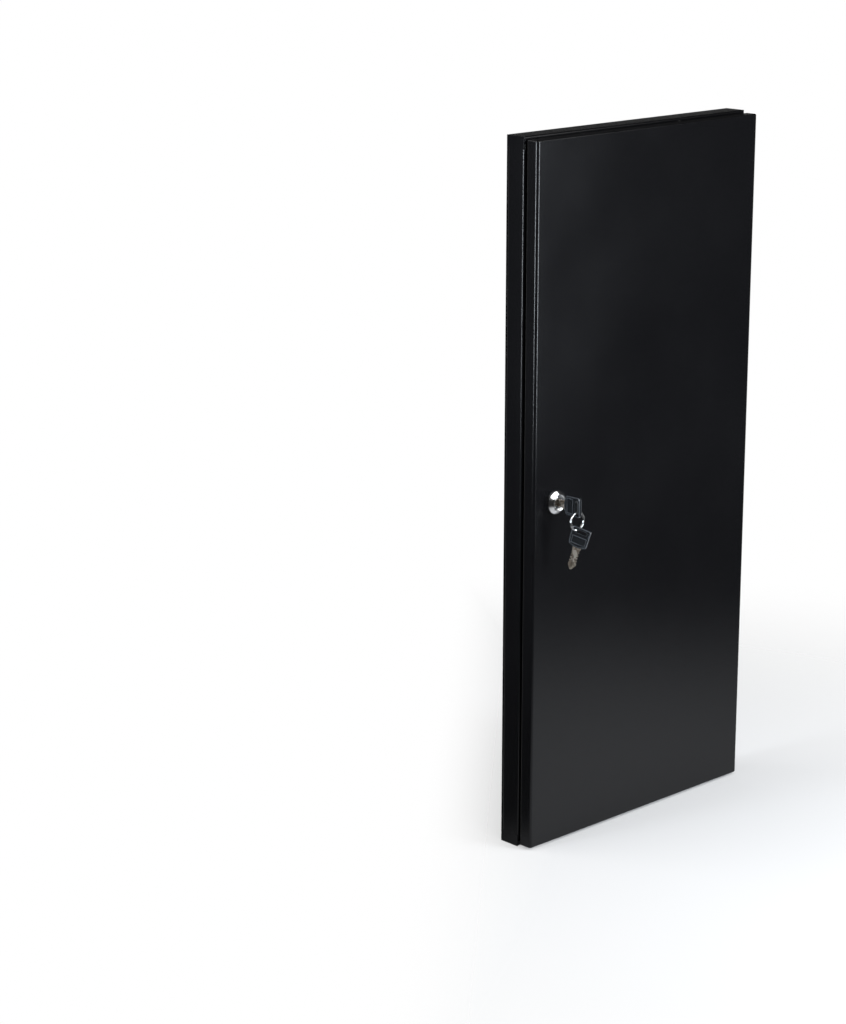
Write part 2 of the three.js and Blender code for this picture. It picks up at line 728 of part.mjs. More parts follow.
function keyBow() {
  const end = -BOW_LENGTH;
  const shape = new THREE.Shape();
  shape.moveTo(-BOW_THROAT, -BOW_THROAT_HALF_WIDTH);
  shape.quadraticCurveTo(BOW_BULGE - BOW_THROAT, 0, -BOW_THROAT, BOW_THROAT_HALF_WIDTH);
  shape.absarc(end + BOW_CORNER, BOW_HALF_WIDTH - BOW_CORNER, BOW_CORNER, Math.PI / 2, Math.PI);
  shape.absarc(end + BOW_CORNER, BOW_CORNER - BOW_HALF_WIDTH, BOW_CORNER, Math.PI, 1.5 * Math.PI);
  shape.closePath();
  const slotEnd = end + SLOT_FROM_END;
  shape.holes.push(slotPath(slotEnd, slotEnd + SLOT_WIDTH, SLOT_HALF_LENGTH));
  const body = new THREE.ExtrudeGeometry(shape, {
    depth: BOW_SHEET - 2 * BOW_EDGE,
    bevelThickness: BOW_EDGE,
    bevelSize: BOW_EDGE,
    bevelOffset: -BOW_EDGE,
    bevelSegments: 2,
    curveSegments: MORE / 2,
  });
  const bow = standOnEdge(body.translate(0, 0, BOW_EDGE - BOW_SHEET / 2));
  const face = BOW_SHEET / 2;
  const tools = [-1, 1].map((side) => {
    const floor = side * (face - PANEL_RECESS);
    const [x0, x1] = [Math.min(floor, 2 * side * face), Math.max(floor, 2 * side * face)];
    return block(x0, x1, -PANEL_RECESS_END, -PANEL_RECESS_START, -PANEL_RECESS_HALF, PANEL_RECESS_HALF);
  });
  const thick = BLADE_SHEET / 2 + TANG_CLEARANCE;
  const wide = TANG_HALF_WIDTH + TANG_CLEARANCE;
  const pocket = block(-thick, thick, -TANG_LENGTH - TANG_CLEARANCE, BOW_BULGE, -wide, wide);
  return cut(bow, ...tools, pocket);
}

// Two turns of flat wire, with the groove between them on the outside.
function keyRing() {
  const inner = RING_RADIUS - RING_RADIAL / 2;
  const outer = RING_RADIUS + RING_RADIAL / 2;
  const half = RING_AXIAL / 2;
  const profile = [
    [inner, -half],
    [outer, -half],
    [outer, -RING_GROOVE / 2],
    [outer - RING_GROOVE, 0],
    [outer, RING_GROOVE / 2],
    [outer, half],
    [inner, half],
    [inner, -half],
  ];
  return turned(profile, RING_ROUND);
}

// Assembly

function piece(name, geometry, finish) {
  const mesh = new THREE.Mesh(geometry, new THREE.MeshStandardMaterial(FINISHES[finish]));
  mesh.name = name;
  return mesh;
}

function placed(object, x, y, z) {
  object.position.set(x, y, z);
  return object;
}

function turnedAboutY(object, angle) {
  object.rotation.y = angle;
  return object;
}

function carcass() {
  const group = new THREE.Group();
  group.add(piece("back_panel", backPanel(), "powderCoat"));
  group.add(piece("left_side_rail", sideRail(), "powderCoat"));
  group.add(turnedAboutY(piece("right_side_rail", rightRail(), "powderCoat"), Math.PI));
  group.add(turnedAboutY(piece("top_rail", endRail(), "powderCoat"), Math.PI / 2));
  group.add(turnedAboutY(piece("bottom_rail", endRail(), "powderCoat"), -Math.PI / 2));
  group.add(piece("tool_panel", toolPanel(), "powderCoat"));
  atCorners(PANEL_SCREW_X, PANEL_SCREW_Z).forEach(([x, z], place) => {
    group.add(placed(piece(`tool_panel_spacer_${place + 1}`, panelSpacer(), "zinc"), x, 0, z));
    group.add(placed(piece(`tool_panel_screw_${place + 1}`, panelScrew(), "zinc"), x, 0, z));
  });
  const sideX = SIDE_BUMPER_INSET - WIDTH / 2;
  const endZ = DOOR_HEIGHT / 2 - BUMPER_RADIUS - SEAM;
  const sideBumpers = [[sideX, SIDE_BUMPER_Z], [sideX, -SIDE_BUMPER_Z]];
  const bumpers = [...sideBumpers, [END_BUMPER_X, endZ], [END_BUMPER_X, -endZ]];
  bumpers.forEach(([x, z], place) => {
    const button = piece(`door_bumper_${place + 1}`, bumper(), "rubber");
    group.add(placed(button, x, CARCASS_FRONT - SEAM, z));
  });
  return group;
}

function hinge(name, z) {
  const group = placed(new THREE.Group(), HINGE_X, HINGE_Y, z);
  group.add(piece(`${name}_hinge_fixed_leaf`, fixedLeaf(), "zinc"));
  group.add(piece(`${name}_hinge_moving_leaf`, movingLeaf(), "zinc"));
  group.add(piece(`${name}_hinge_pin`, hingePin(), "zinc"));
  [FIXED_RIVET_Z, -FIXED_RIVET_Z].forEach((side, place) => {
    group.add(placed(piece(`${name}_fixed_rivet_${place + 1}`, rivet(), "zinc"), RIVET_X, 0, side));
  });
  [MOVING_RIVET_Z, -MOVING_RIVET_Z].forEach((side, place) => {
    const turnedRivet = piece(`${name}_moving_rivet_${place + 1}`, rivet(), "zinc");
    turnedRivet.rotation.x = Math.PI;
    group.add(placed(turnedRivet, RIVET_X, 0, side));
  });
  return group;
}

function key(prefix) {
  const group = new THREE.Group();
  group.add(piece(`${prefix}key_blade`, keyBlade(), "nickel"));
  group.add(piece(`${prefix}key_bow`, keyBow(), "blackPlastic"));
  return group;
}

// The spare key hangs with its slot on the bottom of the ring, turned towards the left and tilted.
function spareKey() {
  const azimuth = THREE.MathUtils.degToRad(SPARE_AZIMUTH);
  const tilt = THREE.MathUtils.degToRad(SPARE_TILT);
  const faceNormal = new THREE.Vector3(Math.sin(azimuth), -Math.cos(azimuth), 0);
  const across = new THREE.Vector3(Math.cos(azimuth), Math.sin(azimuth), 0).multiplyScalar(Math.cos(tilt));
  across.z = -Math.sin(tilt);
  const along = new THREE.Vector3().crossVectors(across, faceNormal);
  const group = key("spare_");
  group.setRotationFromMatrix(new THREE.Matrix4().makeBasis(faceNormal, along, across));
  const slotEdge = BOW_LENGTH - SLOT_FROM_END;
  const wire = new THREE.Vector3(0, SPARE_GAP + RING_RADIAL / 2 - slotEdge, SPARE_ACROSS);
  wire.applyQuaternion(group.quaternion);
  return placed(group, -wire.x, -KEY_OUT - SLOT_MIDDLE - wire.y, RING_Z - RING_RADIUS - wire.z);
}

function lock() {
  const group = placed(new THREE.Group(), LOCK_X, DOOR_FRONT, 0);
  group.add(piece("lock_housing", lockHousing(), "chrome"));
  group.add(piece("lock_washer", lockWasher(), "zinc"));
  group.add(piece("lock_nut", lockNut(), "zinc"));
  group.add(piece("lock_plug", lockPlug(), "chrome"));
  group.add(piece("lock_cam", lockCam(), "zinc"));
  group.add(piece("cam_washer", camWasher(), "zinc"));
  group.add(piece("cam_screw", camScrew(), "zinc"));
  group.add(placed(key(""), 0, -KEY_OUT, 0));
  group.add(placed(piece("key_ring", keyRing(), "chrome"), 0, -KEY_OUT - SLOT_MIDDLE, RING_Z));
  group.add(spareKey());
  return group;
}

const locker = new THREE.Group();
locker.add(carcass());
locker.add(placed(piece("door_skin", doorSkin(), "powderCoat"), 0, DOOR_FRONT, 0));
locker.add(placed(piece("door_stiffener", doorStiffener(), "powderCoat"), 0, DOOR_FRONT + SHEET + SEAM, 0));
locker.add(hinge("upper", HINGE_Z));
locker.add(hinge("lower", -HINGE_Z));
locker.add(lock());

export default locker;
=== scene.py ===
# %% [markdown]
# # A side locker for a tool chest
# The object is a shallow steel locker, powder-coated black, with a pan door, a cam lock and two
# keys on a ring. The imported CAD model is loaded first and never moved: it says where each piece
# is, how big it is and which body it moves with. The cells below build a finer mesh in the place
# of each CAD node and give every surface its finish.

# %% Load the frame
import json
from math import atan2, cos, pi, radians, sin, sqrt, tau

import bmesh
import bpy
from mathutils import Matrix, Vector


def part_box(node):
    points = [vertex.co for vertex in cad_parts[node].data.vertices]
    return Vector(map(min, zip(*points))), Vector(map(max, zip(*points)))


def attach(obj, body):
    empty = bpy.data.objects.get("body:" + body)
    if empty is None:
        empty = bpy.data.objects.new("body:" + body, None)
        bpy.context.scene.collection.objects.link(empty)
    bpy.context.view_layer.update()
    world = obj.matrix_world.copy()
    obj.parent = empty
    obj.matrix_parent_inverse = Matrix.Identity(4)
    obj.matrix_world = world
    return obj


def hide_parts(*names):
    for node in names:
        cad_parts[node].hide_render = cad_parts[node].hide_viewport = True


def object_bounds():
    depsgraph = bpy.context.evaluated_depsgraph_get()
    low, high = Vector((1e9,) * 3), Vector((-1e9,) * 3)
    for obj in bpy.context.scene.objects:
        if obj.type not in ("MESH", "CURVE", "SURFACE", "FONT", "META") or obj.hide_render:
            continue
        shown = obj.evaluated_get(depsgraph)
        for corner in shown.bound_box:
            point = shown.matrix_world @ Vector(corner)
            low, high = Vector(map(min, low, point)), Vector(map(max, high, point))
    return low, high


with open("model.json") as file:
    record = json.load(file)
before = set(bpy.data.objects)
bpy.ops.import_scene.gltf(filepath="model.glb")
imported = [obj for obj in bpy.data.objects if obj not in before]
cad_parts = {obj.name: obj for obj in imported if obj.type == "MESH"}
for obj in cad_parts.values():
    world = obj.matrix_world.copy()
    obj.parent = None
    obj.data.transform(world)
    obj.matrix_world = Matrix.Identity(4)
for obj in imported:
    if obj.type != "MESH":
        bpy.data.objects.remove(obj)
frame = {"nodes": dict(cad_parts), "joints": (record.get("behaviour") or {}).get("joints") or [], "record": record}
CAD_BOX = [list(corner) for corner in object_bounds()]
RECORD = frame["record"]
SLOT_OF = {row["node"]: row["material_slot"] for row in RECORD["subparts"]}
BODY_OF = {node: body for body, nodes in RECORD["behaviour"]["bodies"].items() for node in nodes}
MM = 0.001


def box_mm(node):
    """The lowest and highest corner of a CAD node, in millimetres."""
    low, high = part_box(node)
    return low / MM, high / MM


# %% [markdown]
# ## The camera
# The photograph was taken from the left and a little above, with a long lens. A camera with no
# shift was fitted to the four edges of the door, so the same place, turn and lens show the locker
# at the same size in the same part of the picture.

# %% Camera
CAMERA_PLACE = (-1.9572, -1.7887, 0.6755)
CAMERA_AZIMUTH = -43.293
CAMERA_ELEVATION = 15.191
CAMERA_LENS = 92.72

scene = bpy.context.scene
scene.view_settings.view_transform = "Standard"
camera = bpy.data.objects.new("photo_camera", bpy.data.cameras.new("photo_camera"))
camera.location = CAMERA_PLACE
camera.rotation_euler = (radians(90 - CAMERA_ELEVATION), 0, radians(CAMERA_AZIMUTH))
camera.data.lens = CAMERA_LENS
scene.collection.objects.link(camera)
scene.camera = camera
print(f"camera {camera.data.lens} mm at {CAMERA_PLACE}")

# %% [markdown]
# ## Writing shaders as sums
# A finish is a graph of nodes, and wiring one by hand is slow to write and to read. This small
# class wraps one socket: adding or multiplying two of them makes the Math node that does it, and
# `node` makes any other kind.

# %% Signals
class Signal:
    """One socket of a shader graph."""

    def __init__(self, tree, socket=None):
        self.tree = tree
        self.socket = socket

    def node(self, kind, settings=None, sockets=None, output=0):
        """Adds a node, sets it up, fills its sockets with values or signals, and gives one output."""
        made = self.tree.nodes.new(kind)
        for name, value in (settings or {}).items():
            setattr(made, name, value)
        for name, value in (sockets or {}).items():
            if isinstance(value, Signal):
                self.tree.links.new(value.socket, made.inputs[name])
            else:
                made.inputs[name].default_value = value
        return Signal(self.tree, made.outputs[output])

    def math(self, operation, first, second):
        return self.node("ShaderNodeMath", {"operation": operation}, {0: first, 1: second})

    def __add__(self, other):
        return self.math("ADD", self, other)

    __radd__ = __add__

    def __sub__(self, other):
        return self.math("SUBTRACT", self, other)

    def __rsub__(self, other):
        return self.math("SUBTRACT", other, self)

    def __mul__(self, other):
        return self.math("MULTIPLY", self, other)

    __rmul__ = __mul__


# %% Patterns that several finishes share
def noise(place, scale, detail=2.0):
    """Cloudy values round a half, with `scale` clouds to the metre."""
    return place.node("ShaderNodeTexNoise", {}, {"Vector": place, "Scale": scale, "Detail": detail})


def stretched(place, across):
    """Object coordinates drawn out, so that a noise on them turns into strokes."""
    return place.node("ShaderNodeMapping", {}, {"Vector": place, "Scale": across})


def eased(value, low, high):
    """Nothing below low, all above high, and a smooth step between."""
    sockets = {"Value": value, "From Min": low, "From Max": high}
    return value.node("ShaderNodeMapRange", {"interpolation_type": "SMOOTHSTEP"}, sockets)


def blended(mask, first, second):
    """The first colour where the mask is 0 and the second where it is 1."""
    sockets = {0: mask, 6: (*first, 1), 7: (*second, 1)}
    return mask.node("ShaderNodeMix", {"data_type": "RGBA"}, sockets, output=2)


def bumped(height, distance, strength):
    sockets = {"Height": height, "Distance": distance, "Strength": strength}
    return height.node("ShaderNodeBump", {}, sockets)


def new_finish(name, constants, varying):
    """A material: constants go straight on the shader, and varying(place) gives what changes."""
    material = bpy.data.materials.new(name)
    material.use_nodes = True
    tree = material.node_tree
    shader = tree.nodes["Principled BSDF"]
    for socket, value in constants.items():
        shader.inputs[socket].default_value = value
    place = Signal(tree).node("ShaderNodeTexCoord", output="Object")
    for socket, signal in varying(place).items():
        tree.links.new(signal.socket, shader.inputs[socket])
    return material


FINISH = {}

# %% [markdown]
# ## Black powder coat
# The steel is coated with a fine-texture black powder. Melted grains leave a skin like very fine
# orange peel, about a millimetre from hump to hump, so reflections spread out softly. Two noises
# make the grain and a slow one varies the gloss, as a sprayed sheet does.

# %% Powder coat
def powder_coat(place):
    grain = noise(place, 1300, 2)
    peel = noise(place, 700, 1)
    cloud = noise(place, 9, 3)
    mottle = eased(peel * 0.35 + grain * 0.65, 0.34, 0.66)
    return {
        "Base Color": blended(mottle, (0.0016, 0.0016, 0.0019), (0.0049, 0.0049, 0.0057)),
        "Roughness": 0.12 + cloud * 0.12 + grain * 0.05,
        "Normal": bumped(peel * 0.8 + grain * 0.2, 0.00018, 0.35),
    }


FINISH["powder_coat"] = new_finish("black_powder_coat", {"Specular IOR Level": 0.3}, powder_coat)
print("powder coat made")

# %% [markdown]
# ## Plated metals
# The lock is bright chrome, the keys are nickel over brass, and the hinges and screws are zinc.
# All are full metals, told apart by colour and by how rough they are. Zinc has a cloudy, faintly
# yellow and blue skin. Keys are milled along the blade, which leaves long fine strokes, and the
# nickel has rubbed thin, so some brass warms it.

# %% Chrome, nickel and zinc
def chrome(place):
    cloud = noise(place, 60, 2)
    scratch = noise(stretched(place, (1, 14, 1)), 900, 2)
    return {
        "Base Color": blended(cloud, (0.70, 0.71, 0.72), (0.79, 0.79, 0.79)),
        "Roughness": 0.11 + cloud * 0.08 + scratch * 0.06,
        "Normal": bumped(scratch, 0.00002, 0.25),
    }


def nickel(place):
    cloud = noise(place, 240, 3)
    stroke = noise(stretched(place, (1, 0.12, 0.12)), 4200, 2)
    return {
        "Base Color": blended(eased(cloud, 0.41, 0.59), (0.43, 0.385, 0.33), (0.155, 0.125, 0.095)),
        "Roughness": 0.26 + cloud * 0.12 + stroke * 0.10,
        "Normal": bumped(stroke, 0.00004, 0.5),
    }


def zinc(place):
    cloud = noise(place, 130, 3)
    speck = noise(place, 1300, 2)
    return {
        "Base Color": blended(eased(cloud, 0.3, 0.7), (0.50, 0.51, 0.53), (0.58, 0.56, 0.50)),
        "Roughness": 0.26 + cloud * 0.16 + speck * 0.08,
        "Normal": bumped(speck, 0.00004, 0.2),
    }


PLATED = {"Metallic": 1.0}
FINISH["chrome_plate"] = new_finish("bright_chrome", PLATED, chrome)
FINISH["nickel_key"] = new_finish("worn_nickel", PLATED, nickel)
FINISH["zinc_plate"] = new_finish("zinc_plate", PLATED, zinc)
print("three plated metals made")

# %% [markdown]
# ## Moulded plastic and rubber
# The key bows are black plastic with the fine spark-eroded grain of their mould. Their rounded and sloping faces
# are painted lighter blue-grey, a painted edge highlight with some scuffing. It follows the shape, so it reads a
# value that the mesh holds for each face. The door bumpers are soft black rubber, rougher and grey with dust.

# %% Plastic and rubber
# Face value for the painted edge highlight, with some scuffing, on the key bows.
EDGE_LAYER = "edge_highlight_and_wear"


def key_plastic(place):
    grain = noise(place, 2400, 2)
    cloud = noise(place, 180, 2)
    edge = place.node("ShaderNodeAttribute", {"attribute_name": EDGE_LAYER}, output="Fac")
    # Painted edge highlight with some scuffing: rounded and sloping faces turn a lighter blue-grey.
    highlight_and_scuff = edge * (0.55 + eased(cloud, 0.3, 0.6) * 0.45)
    return {
        "Base Color": blended(highlight_and_scuff, (0.0075, 0.0088, 0.0105), (0.072, 0.081, 0.092)),
        "Roughness": 0.13 + cloud * 0.06 + grain * 0.06,
        "Normal": bumped(grain, 0.00008, 0.2),
    }


def bumper_rubber(place):
    grain = noise(place, 1800, 3)
    dust = noise(place, 220, 3)
    return {
        "Base Color": blended(eased(dust, 0.4, 0.8), (0.010, 0.010, 0.010), (0.030, 0.029, 0.027)),
        "Roughness": 0.70 + grain * 0.18,
        "Normal": bumped(grain, 0.00012, 0.5),
    }


FINISH["black_moulding"] = new_finish("black_key_plastic", {"Specular IOR Level": 0.8}, key_plastic)
FINISH["rubber"] = new_finish("bumper_rubber", {}, bumper_rubber)
print(f"finishes: {sorted(FINISH)}")

# %% [markdown]
# ## From bmesh to finished piece
# All modelling is in millimetres, in the locker's own axes. Finishing a piece scales it to
# metres, gives it the finish of the CAD node it stands for and lets it ride on that node's body.
# Sheet metal is drawn as one skin and gets its wall from a Solidify modifier; a narrow Bevel
# rounds every cut edge so that it catches the light, as painted steel does.

# %% Finishing a piece
SHEET = 1.0
FOLD_ANGLE = radians(40)


def finished(bm, name, *nodes, wall=0.0, side=-1.0, edge=0.0):
    """Turns a bmesh into a piece that stands for CAD nodes. Side -1 grows the wall inwards."""
    bm.transform(Matrix.Scale(MM, 4))
    mesh = bpy.data.meshes.new(name)
    bm.to_mesh(mesh)
    bm.free()
    mesh.shade_smooth()
    mesh.set_sharp_from_angle(angle=FOLD_ANGLE)
    slot = SLOT_OF[nodes[0]]
    mesh.materials.append(FINISH[slot])
    piece = bpy.data.objects.new(name, mesh)
    scene.collection.objects.link(piece)
    if wall:
        solid = piece.modifiers.new("wall", "SOLIDIFY")
        solid.thickness = wall * MM
        solid.offset = side
        solid.use_even_offset = True
    if edge:
        bevel = piece.modifiers.new("edge", "BEVEL")
        bevel.width = edge * MM
        bevel.segments = 2
        bevel.limit_method = "ANGLE"
        bevel.angle_limit = FOLD_ANGLE
        piece.modifiers.new("normals", "WEIGHTED_NORMAL").keep_sharp = True
    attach(piece, BODY_OF[nodes[0]])
    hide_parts(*nodes)
    return piece


def facing_front(y):
    """Stands a flat drawing up: its X stays, its Y goes up and its Z comes forward from that depth."""
    return Matrix.Translation((0, y, 0)) @ Matrix.Rotation(radians(90), 4, "X")


def drawn(*corners):
    """A bmesh with one flat face through these corners."""
    bm = bmesh.new()
    bm.faces.new([bm.verts.new((x, y, 0)) for x, y in corners])
    return bm


def rectangle(width, height):
    return drawn((-width / 2, -height / 2), (width / 2, -height / 2), (width / 2, height / 2), (-width / 2, height / 2))


# %% [markdown]
# ## Punching holes
# Holes in sheet metal are punched, so their edges are clean. A hole here is made without a
# boolean: four cuts fence off a square patch in the flat face, the patch is deleted, and a ring
# of quads bridges the square to a circle. A slot is a circle whose halves are drawn apart.

# %% Punch
def face_round(bm, x, y):
    """The foremost flat face that has (x, y) inside it."""
    spot = Vector((x, y))
    found = []
    for face in bm.faces:
        corners = [vert.co.xy for vert in face.verts]
        turns = [(b - a).cross(spot - a) for a, b in zip(corners, corners[1:] + corners[:1])]
        if min(turns) > 0 or max(turns) < 0:
            found.append(face)
    return max(found, key=lambda face: face.calc_center_median().z)


def fenced(bm, x, y, reach_x, reach_y):
    """Cuts a rectangular patch into the flat face round (x, y) and gives the patch."""
    for axis, middle, reach in ((0, x, reach_x), (1, y, reach_y)):
        for side in (-1, 1):
            face = face_round(bm, x, y)
            at = Vector((0, 0, 0))
            at[axis] = middle + side * reach
            along = Vector((0, 0, 0))
            along[axis] = 1
            geom = [face, *face.edges, *face.verts]
            bmesh.ops.bisect_plane(bm, geom=geom, dist=1e-6, plane_co=at, plane_no=along)
    return face_round(bm, x, y)


def parted(bm, edges, cuts):
    """Cuts each edge of a ring into equal steps, and gives the ring's corners."""
    steps = bmesh.ops.subdivide_edges(bm, edges=edges, cuts=cuts)["geom_split"]
    return {vert for item in steps if isinstance(item, bmesh.types.BMEdge) for vert in item.verts}


def join_rings(bm, outer, inner, up=2):
    """Joins two flat rings of as many corners with quads, in order round the axis they share."""
    right, ahead = ((1, 2), (2, 0), (0, 1))[up]
    middle = sum((vert.co for vert in inner), Vector()) / len(inner)

    def turn(vert):
        reach = vert.co - middle
        return (atan2(reach[ahead], reach[right]) + 0.01) % tau

    outer = sorted(outer, key=turn)
    inner = sorted(inner, key=turn)
    for quad in zip(outer, outer[1:] + outer[:1], inner[1:] + inner[:1], inner):
        bm.faces.new(quad)


def punch(bm, x, y, radius, margin, stretch=0.0, sides=32):
    """Opens a round hole in a flat face, or a slot along Y if it is stretched. Gives its rim's edges."""
    patch = fenced(bm, x, y, radius + margin, radius + margin + stretch)
    height = patch.calc_center_median().z
    fence = list(patch.edges)
    bmesh.ops.delete(bm, geom=[patch], context="FACES_ONLY")
    outer = parted(bm, fence, sides // 4 - 1)
    place = Matrix.Translation((x, y, height)) @ Matrix.Rotation(pi / sides, 4, "Z")
    ring = bmesh.ops.create_circle(bm, cap_ends=False, radius=radius, segments=sides, matrix=place)["verts"]
    for vert in ring:
        vert.co.y += stretch if vert.co.y > y else -stretch
    rim = list({edge for vert in ring for edge in vert.link_edges})
    join_rings(bm, outer, ring)
    return rim


# %% [markdown]
# ## Turned parts
# Screws, rivets, pins, spacers and the lock's bezel are all round about one axis. Each is half a
# profile, given as radius and distance along the axis, spun once round with its seam merged.

# %% Turn
def turned(profile, closed=False, sides=48):
    """A turned bmesh along +Y from (radius, along) pairs. A closed profile is a ring with a bore."""
    bm = bmesh.new()
    spin_into(bm, profile, closed, sides)
    return bm


def spin_into(bm, profile, closed=False, sides=48):
    verts = [bm.verts.new((radius, along, 0)) for radius, along in profile]
    pairs = list(zip(verts, verts[1:]))
    if closed:
        pairs.append((verts[-1], verts[0]))
    edges = [bm.edges.new(pair) for pair in pairs]
    before = set(bm.faces)
    bmesh.ops.spin(bm, geom=verts + edges, axis=(0, 1, 0), angle=tau, steps=sides, use_merge=True)
    made = [face for face in bm.faces if face not in before]
    touched = list({vert for face in made for vert in face.verts})
    bmesh.ops.remove_doubles(bm, verts=touched, dist=1e-5)
    made = [face for face in bm.faces if face not in before]
    bmesh.ops.recalc_face_normals(bm, faces=made)


def at(x, y, z, turn=0.0):
    """A place in the locker; half a turn about Z makes a part that pointed back point forward."""
    return Matrix.Translation((x, y, z)) @ Matrix.Rotation(turn, 4, "Z")


# %% [markdown]
# ## The door pan
# The door is one sheet folded into a pan: a flat front, four sides and a lip turned inwards all
# round the back. It starts as a box. One bevel gives the upright edges the wide fold that shows two
# bright lines, a second gives the ends a tighter one, and a third rounds the folds of the lip; the
# middle of the back is cut out and a fine slit is left where two lips meet at each corner. The
# lock's hole is punched in the front.

# %% Door pan
DOOR_FOLD = 3.0
END_FOLD = 1.4
LIP_FOLD = 1.2
LIP_WIDTH = 15.0
LIP_SLIT = 0.8
LOCK_HOLE = 9.3
LOCK = Vector(next(joint["pos_m"] for joint in frame["joints"] if joint["name"] == "key_turn")) / MM
DOOR_LOW, DOOR_HIGH = box_mm("door_skin")
DOOR_WIDTH, DOOR_DEPTH, DOOR_HEIGHT = DOOR_HIGH - DOOR_LOW


def cut_line(bm, face, place, direction):
    """Cuts one face along the line through a place, square to a direction."""
    geom = [face, *face.edges, *face.verts]
    bmesh.ops.bisect_plane(bm, geom=geom, dist=1e-6, plane_co=place, plane_no=direction)


def slit_lip(bm, x, y):
    """Opens the slit on the mitre of the lip's corner that x and y point to."""
    back = -DOOR_DEPTH
    corner = Vector((x * DOOR_WIDTH / 2, y * DOOR_HEIGHT / 2, back))
    inwards = Vector((-x, -y, 0)).normalized()
    across = Vector((y, -x, 0)).normalized()
    reach = LIP_WIDTH * sqrt(2)
    spot = corner + inwards * (reach - 1)
    for place, direction in (
        (spot + across * LIP_SLIT / 2, across),
        (spot - across * LIP_SLIT / 2, across),
        (corner + inwards * reach * 0.4, inwards),
    ):
        cut_line(bm, rearmost(bm, spot), place, direction)
    bmesh.ops.delete(bm, geom=[rearmost(bm, spot)], context="FACES")
    inner = corner + inwards * reach
    for side in (-1, 1):
        tip = inner + across * side * LIP_SLIT / 3
        cut_line(bm, rearmost(bm, tip), inner + across * side * LIP_SLIT / 2, across)
        bmesh.ops.delete(bm, geom=[rearmost(bm, tip)], context="FACES")


def rearmost(bm, spot):
    """The flat face at the back that has the spot inside it."""
    flat = [face for face in bm.faces if all(abs(vert.co.z + DOOR_DEPTH) < 1e-4 for vert in face.verts)]
    for face in flat:
        corners = [vert.co.xy for vert in face.verts]
        turns = [(b - a).cross(spot.xy - a) for a, b in zip(corners, corners[1:] + corners[:1])]
        if min(turns) > 0 or max(turns) < 0:
            return face


def is_upright(edge):
    a, b = (vert.co for vert in edge.verts)
    return abs(a.y - b.y) > DOOR_HEIGHT / 2


def door_pan():
    bm = bmesh.new()
    size = Matrix.Diagonal((DOOR_WIDTH, DOOR_HEIGHT, DOOR_DEPTH, 1))
    bmesh.ops.create_cube(bm, size=1.0, matrix=Matrix.Translation((0, 0, -DOOR_DEPTH / 2)) @ size)
    uprights = [edge for edge in bm.edges if all(vert.co.z > -1 for vert in edge.verts) and is_upright(edge)]
    bmesh.ops.bevel(bm, geom=uprights, offset=DOOR_FOLD, segments=8, profile=0.5, affect="EDGES", material=-1)
    ends = [face for face in bm.faces if abs(face.normal.y) > 0.9]
    seams = [edge for face in ends for edge in face.edges if any(vert.co.z > -1 - DOOR_FOLD for vert in edge.verts)]
    bmesh.ops.bevel(bm, geom=seams, offset=END_FOLD, segments=4, profile=0.5, affect="EDGES", material=-1)
    back = rearmost(bm, Vector((0, 0, 0)))
    bmesh.ops.bevel(
        bm, geom=list(back.edges), offset=LIP_FOLD, segments=5, profile=0.5, affect="EDGES", material=-1
    )
    for axis, reach in ((0, DOOR_WIDTH / 2 - LIP_WIDTH), (1, DOOR_HEIGHT / 2 - LIP_WIDTH)):
        for side in (-1, 1):
            place = Vector((0, 0, 0))
            place[axis] = side * reach
            direction = Vector((0, 0, 0))
            direction[axis] = 1
            rear = [face for face in bm.faces if all(abs(v.co.z + DOOR_DEPTH) < 1e-4 for v in face.verts)]
            parts = {item for face in rear for item in (face, *face.edges, *face.verts)}
            bmesh.ops.bisect_plane(bm, geom=list(parts), dist=1e-6, plane_co=place, plane_no=direction)
    bmesh.ops.delete(bm, geom=[rearmost(bm, Vector((0, 0, 0)))], context="FACES")
    for x in (-1, 1):
        for y in (-1, 1):
            slit_lip(bm, x, y)
    punch(bm, LOCK.x, LOCK.z, LOCK_HOLE, 2.0)
    bmesh.ops.recalc_face_normals(bm, faces=bm.faces)
    bm.transform(facing_front(DOOR_LOW.y))
    return bm


pan = finished(door_pan(), "door_pan", "door_skin", wall=SHEET, edge=0.22)
print(f"door pan {DOOR_WIDTH:.0f} x {DOOR_HEIGHT:.0f} x {DOOR_DEPTH:.0f} mm")

# %% [markdown]
# ## Folded strips
# The carcass is four folded channels, and the door's stiffener is a hat section. Each is a
# profile of a few points drawn out along its length, with its fold lines rounded by a bevel. A
# side channel's flanges stop short at both ends, where those of the top and bottom fill the
# corner, so its web is drawn on by itself as a tab with a small relief beside the fold.

# %% Strips
def strip(profile, length, fold, steps=5):
    """A folded strip along Z, centred on its length, with its inner fold lines rounded."""
    bm = bmesh.new()
    verts = [bm.verts.new((x, y, -length / 2)) for x, y in profile]
    edges = [bm.edges.new(pair) for pair in zip(verts, verts[1:])]
    grown = bmesh.ops.extrude_edge_only(bm, edges=edges)["geom"]
    moved = [item for item in grown if isinstance(item, bmesh.types.BMVert)]
    bmesh.ops.translate(bm, verts=moved, vec=(0, 0, length))
    lines = [edge for edge in bm.edges if edge.is_manifold]
    bmesh.ops.bevel(bm, geom=lines, offset=fold, segments=steps, profile=0.5, affect="EDGES", material=-1)
    bmesh.ops.recalc_face_normals(bm, faces=bm.faces)
    return bm


FLANGE = 12.0
CARCASS_FOLD = 2.0
CARCASS_SEAM = 0.1
TAB_RELIEF = 0.4
RAIL_LOW, RAIL_HIGH = box_mm("left_side_rail")
RAIL_DEPTH = RAIL_HIGH.y - RAIL_LOW.y


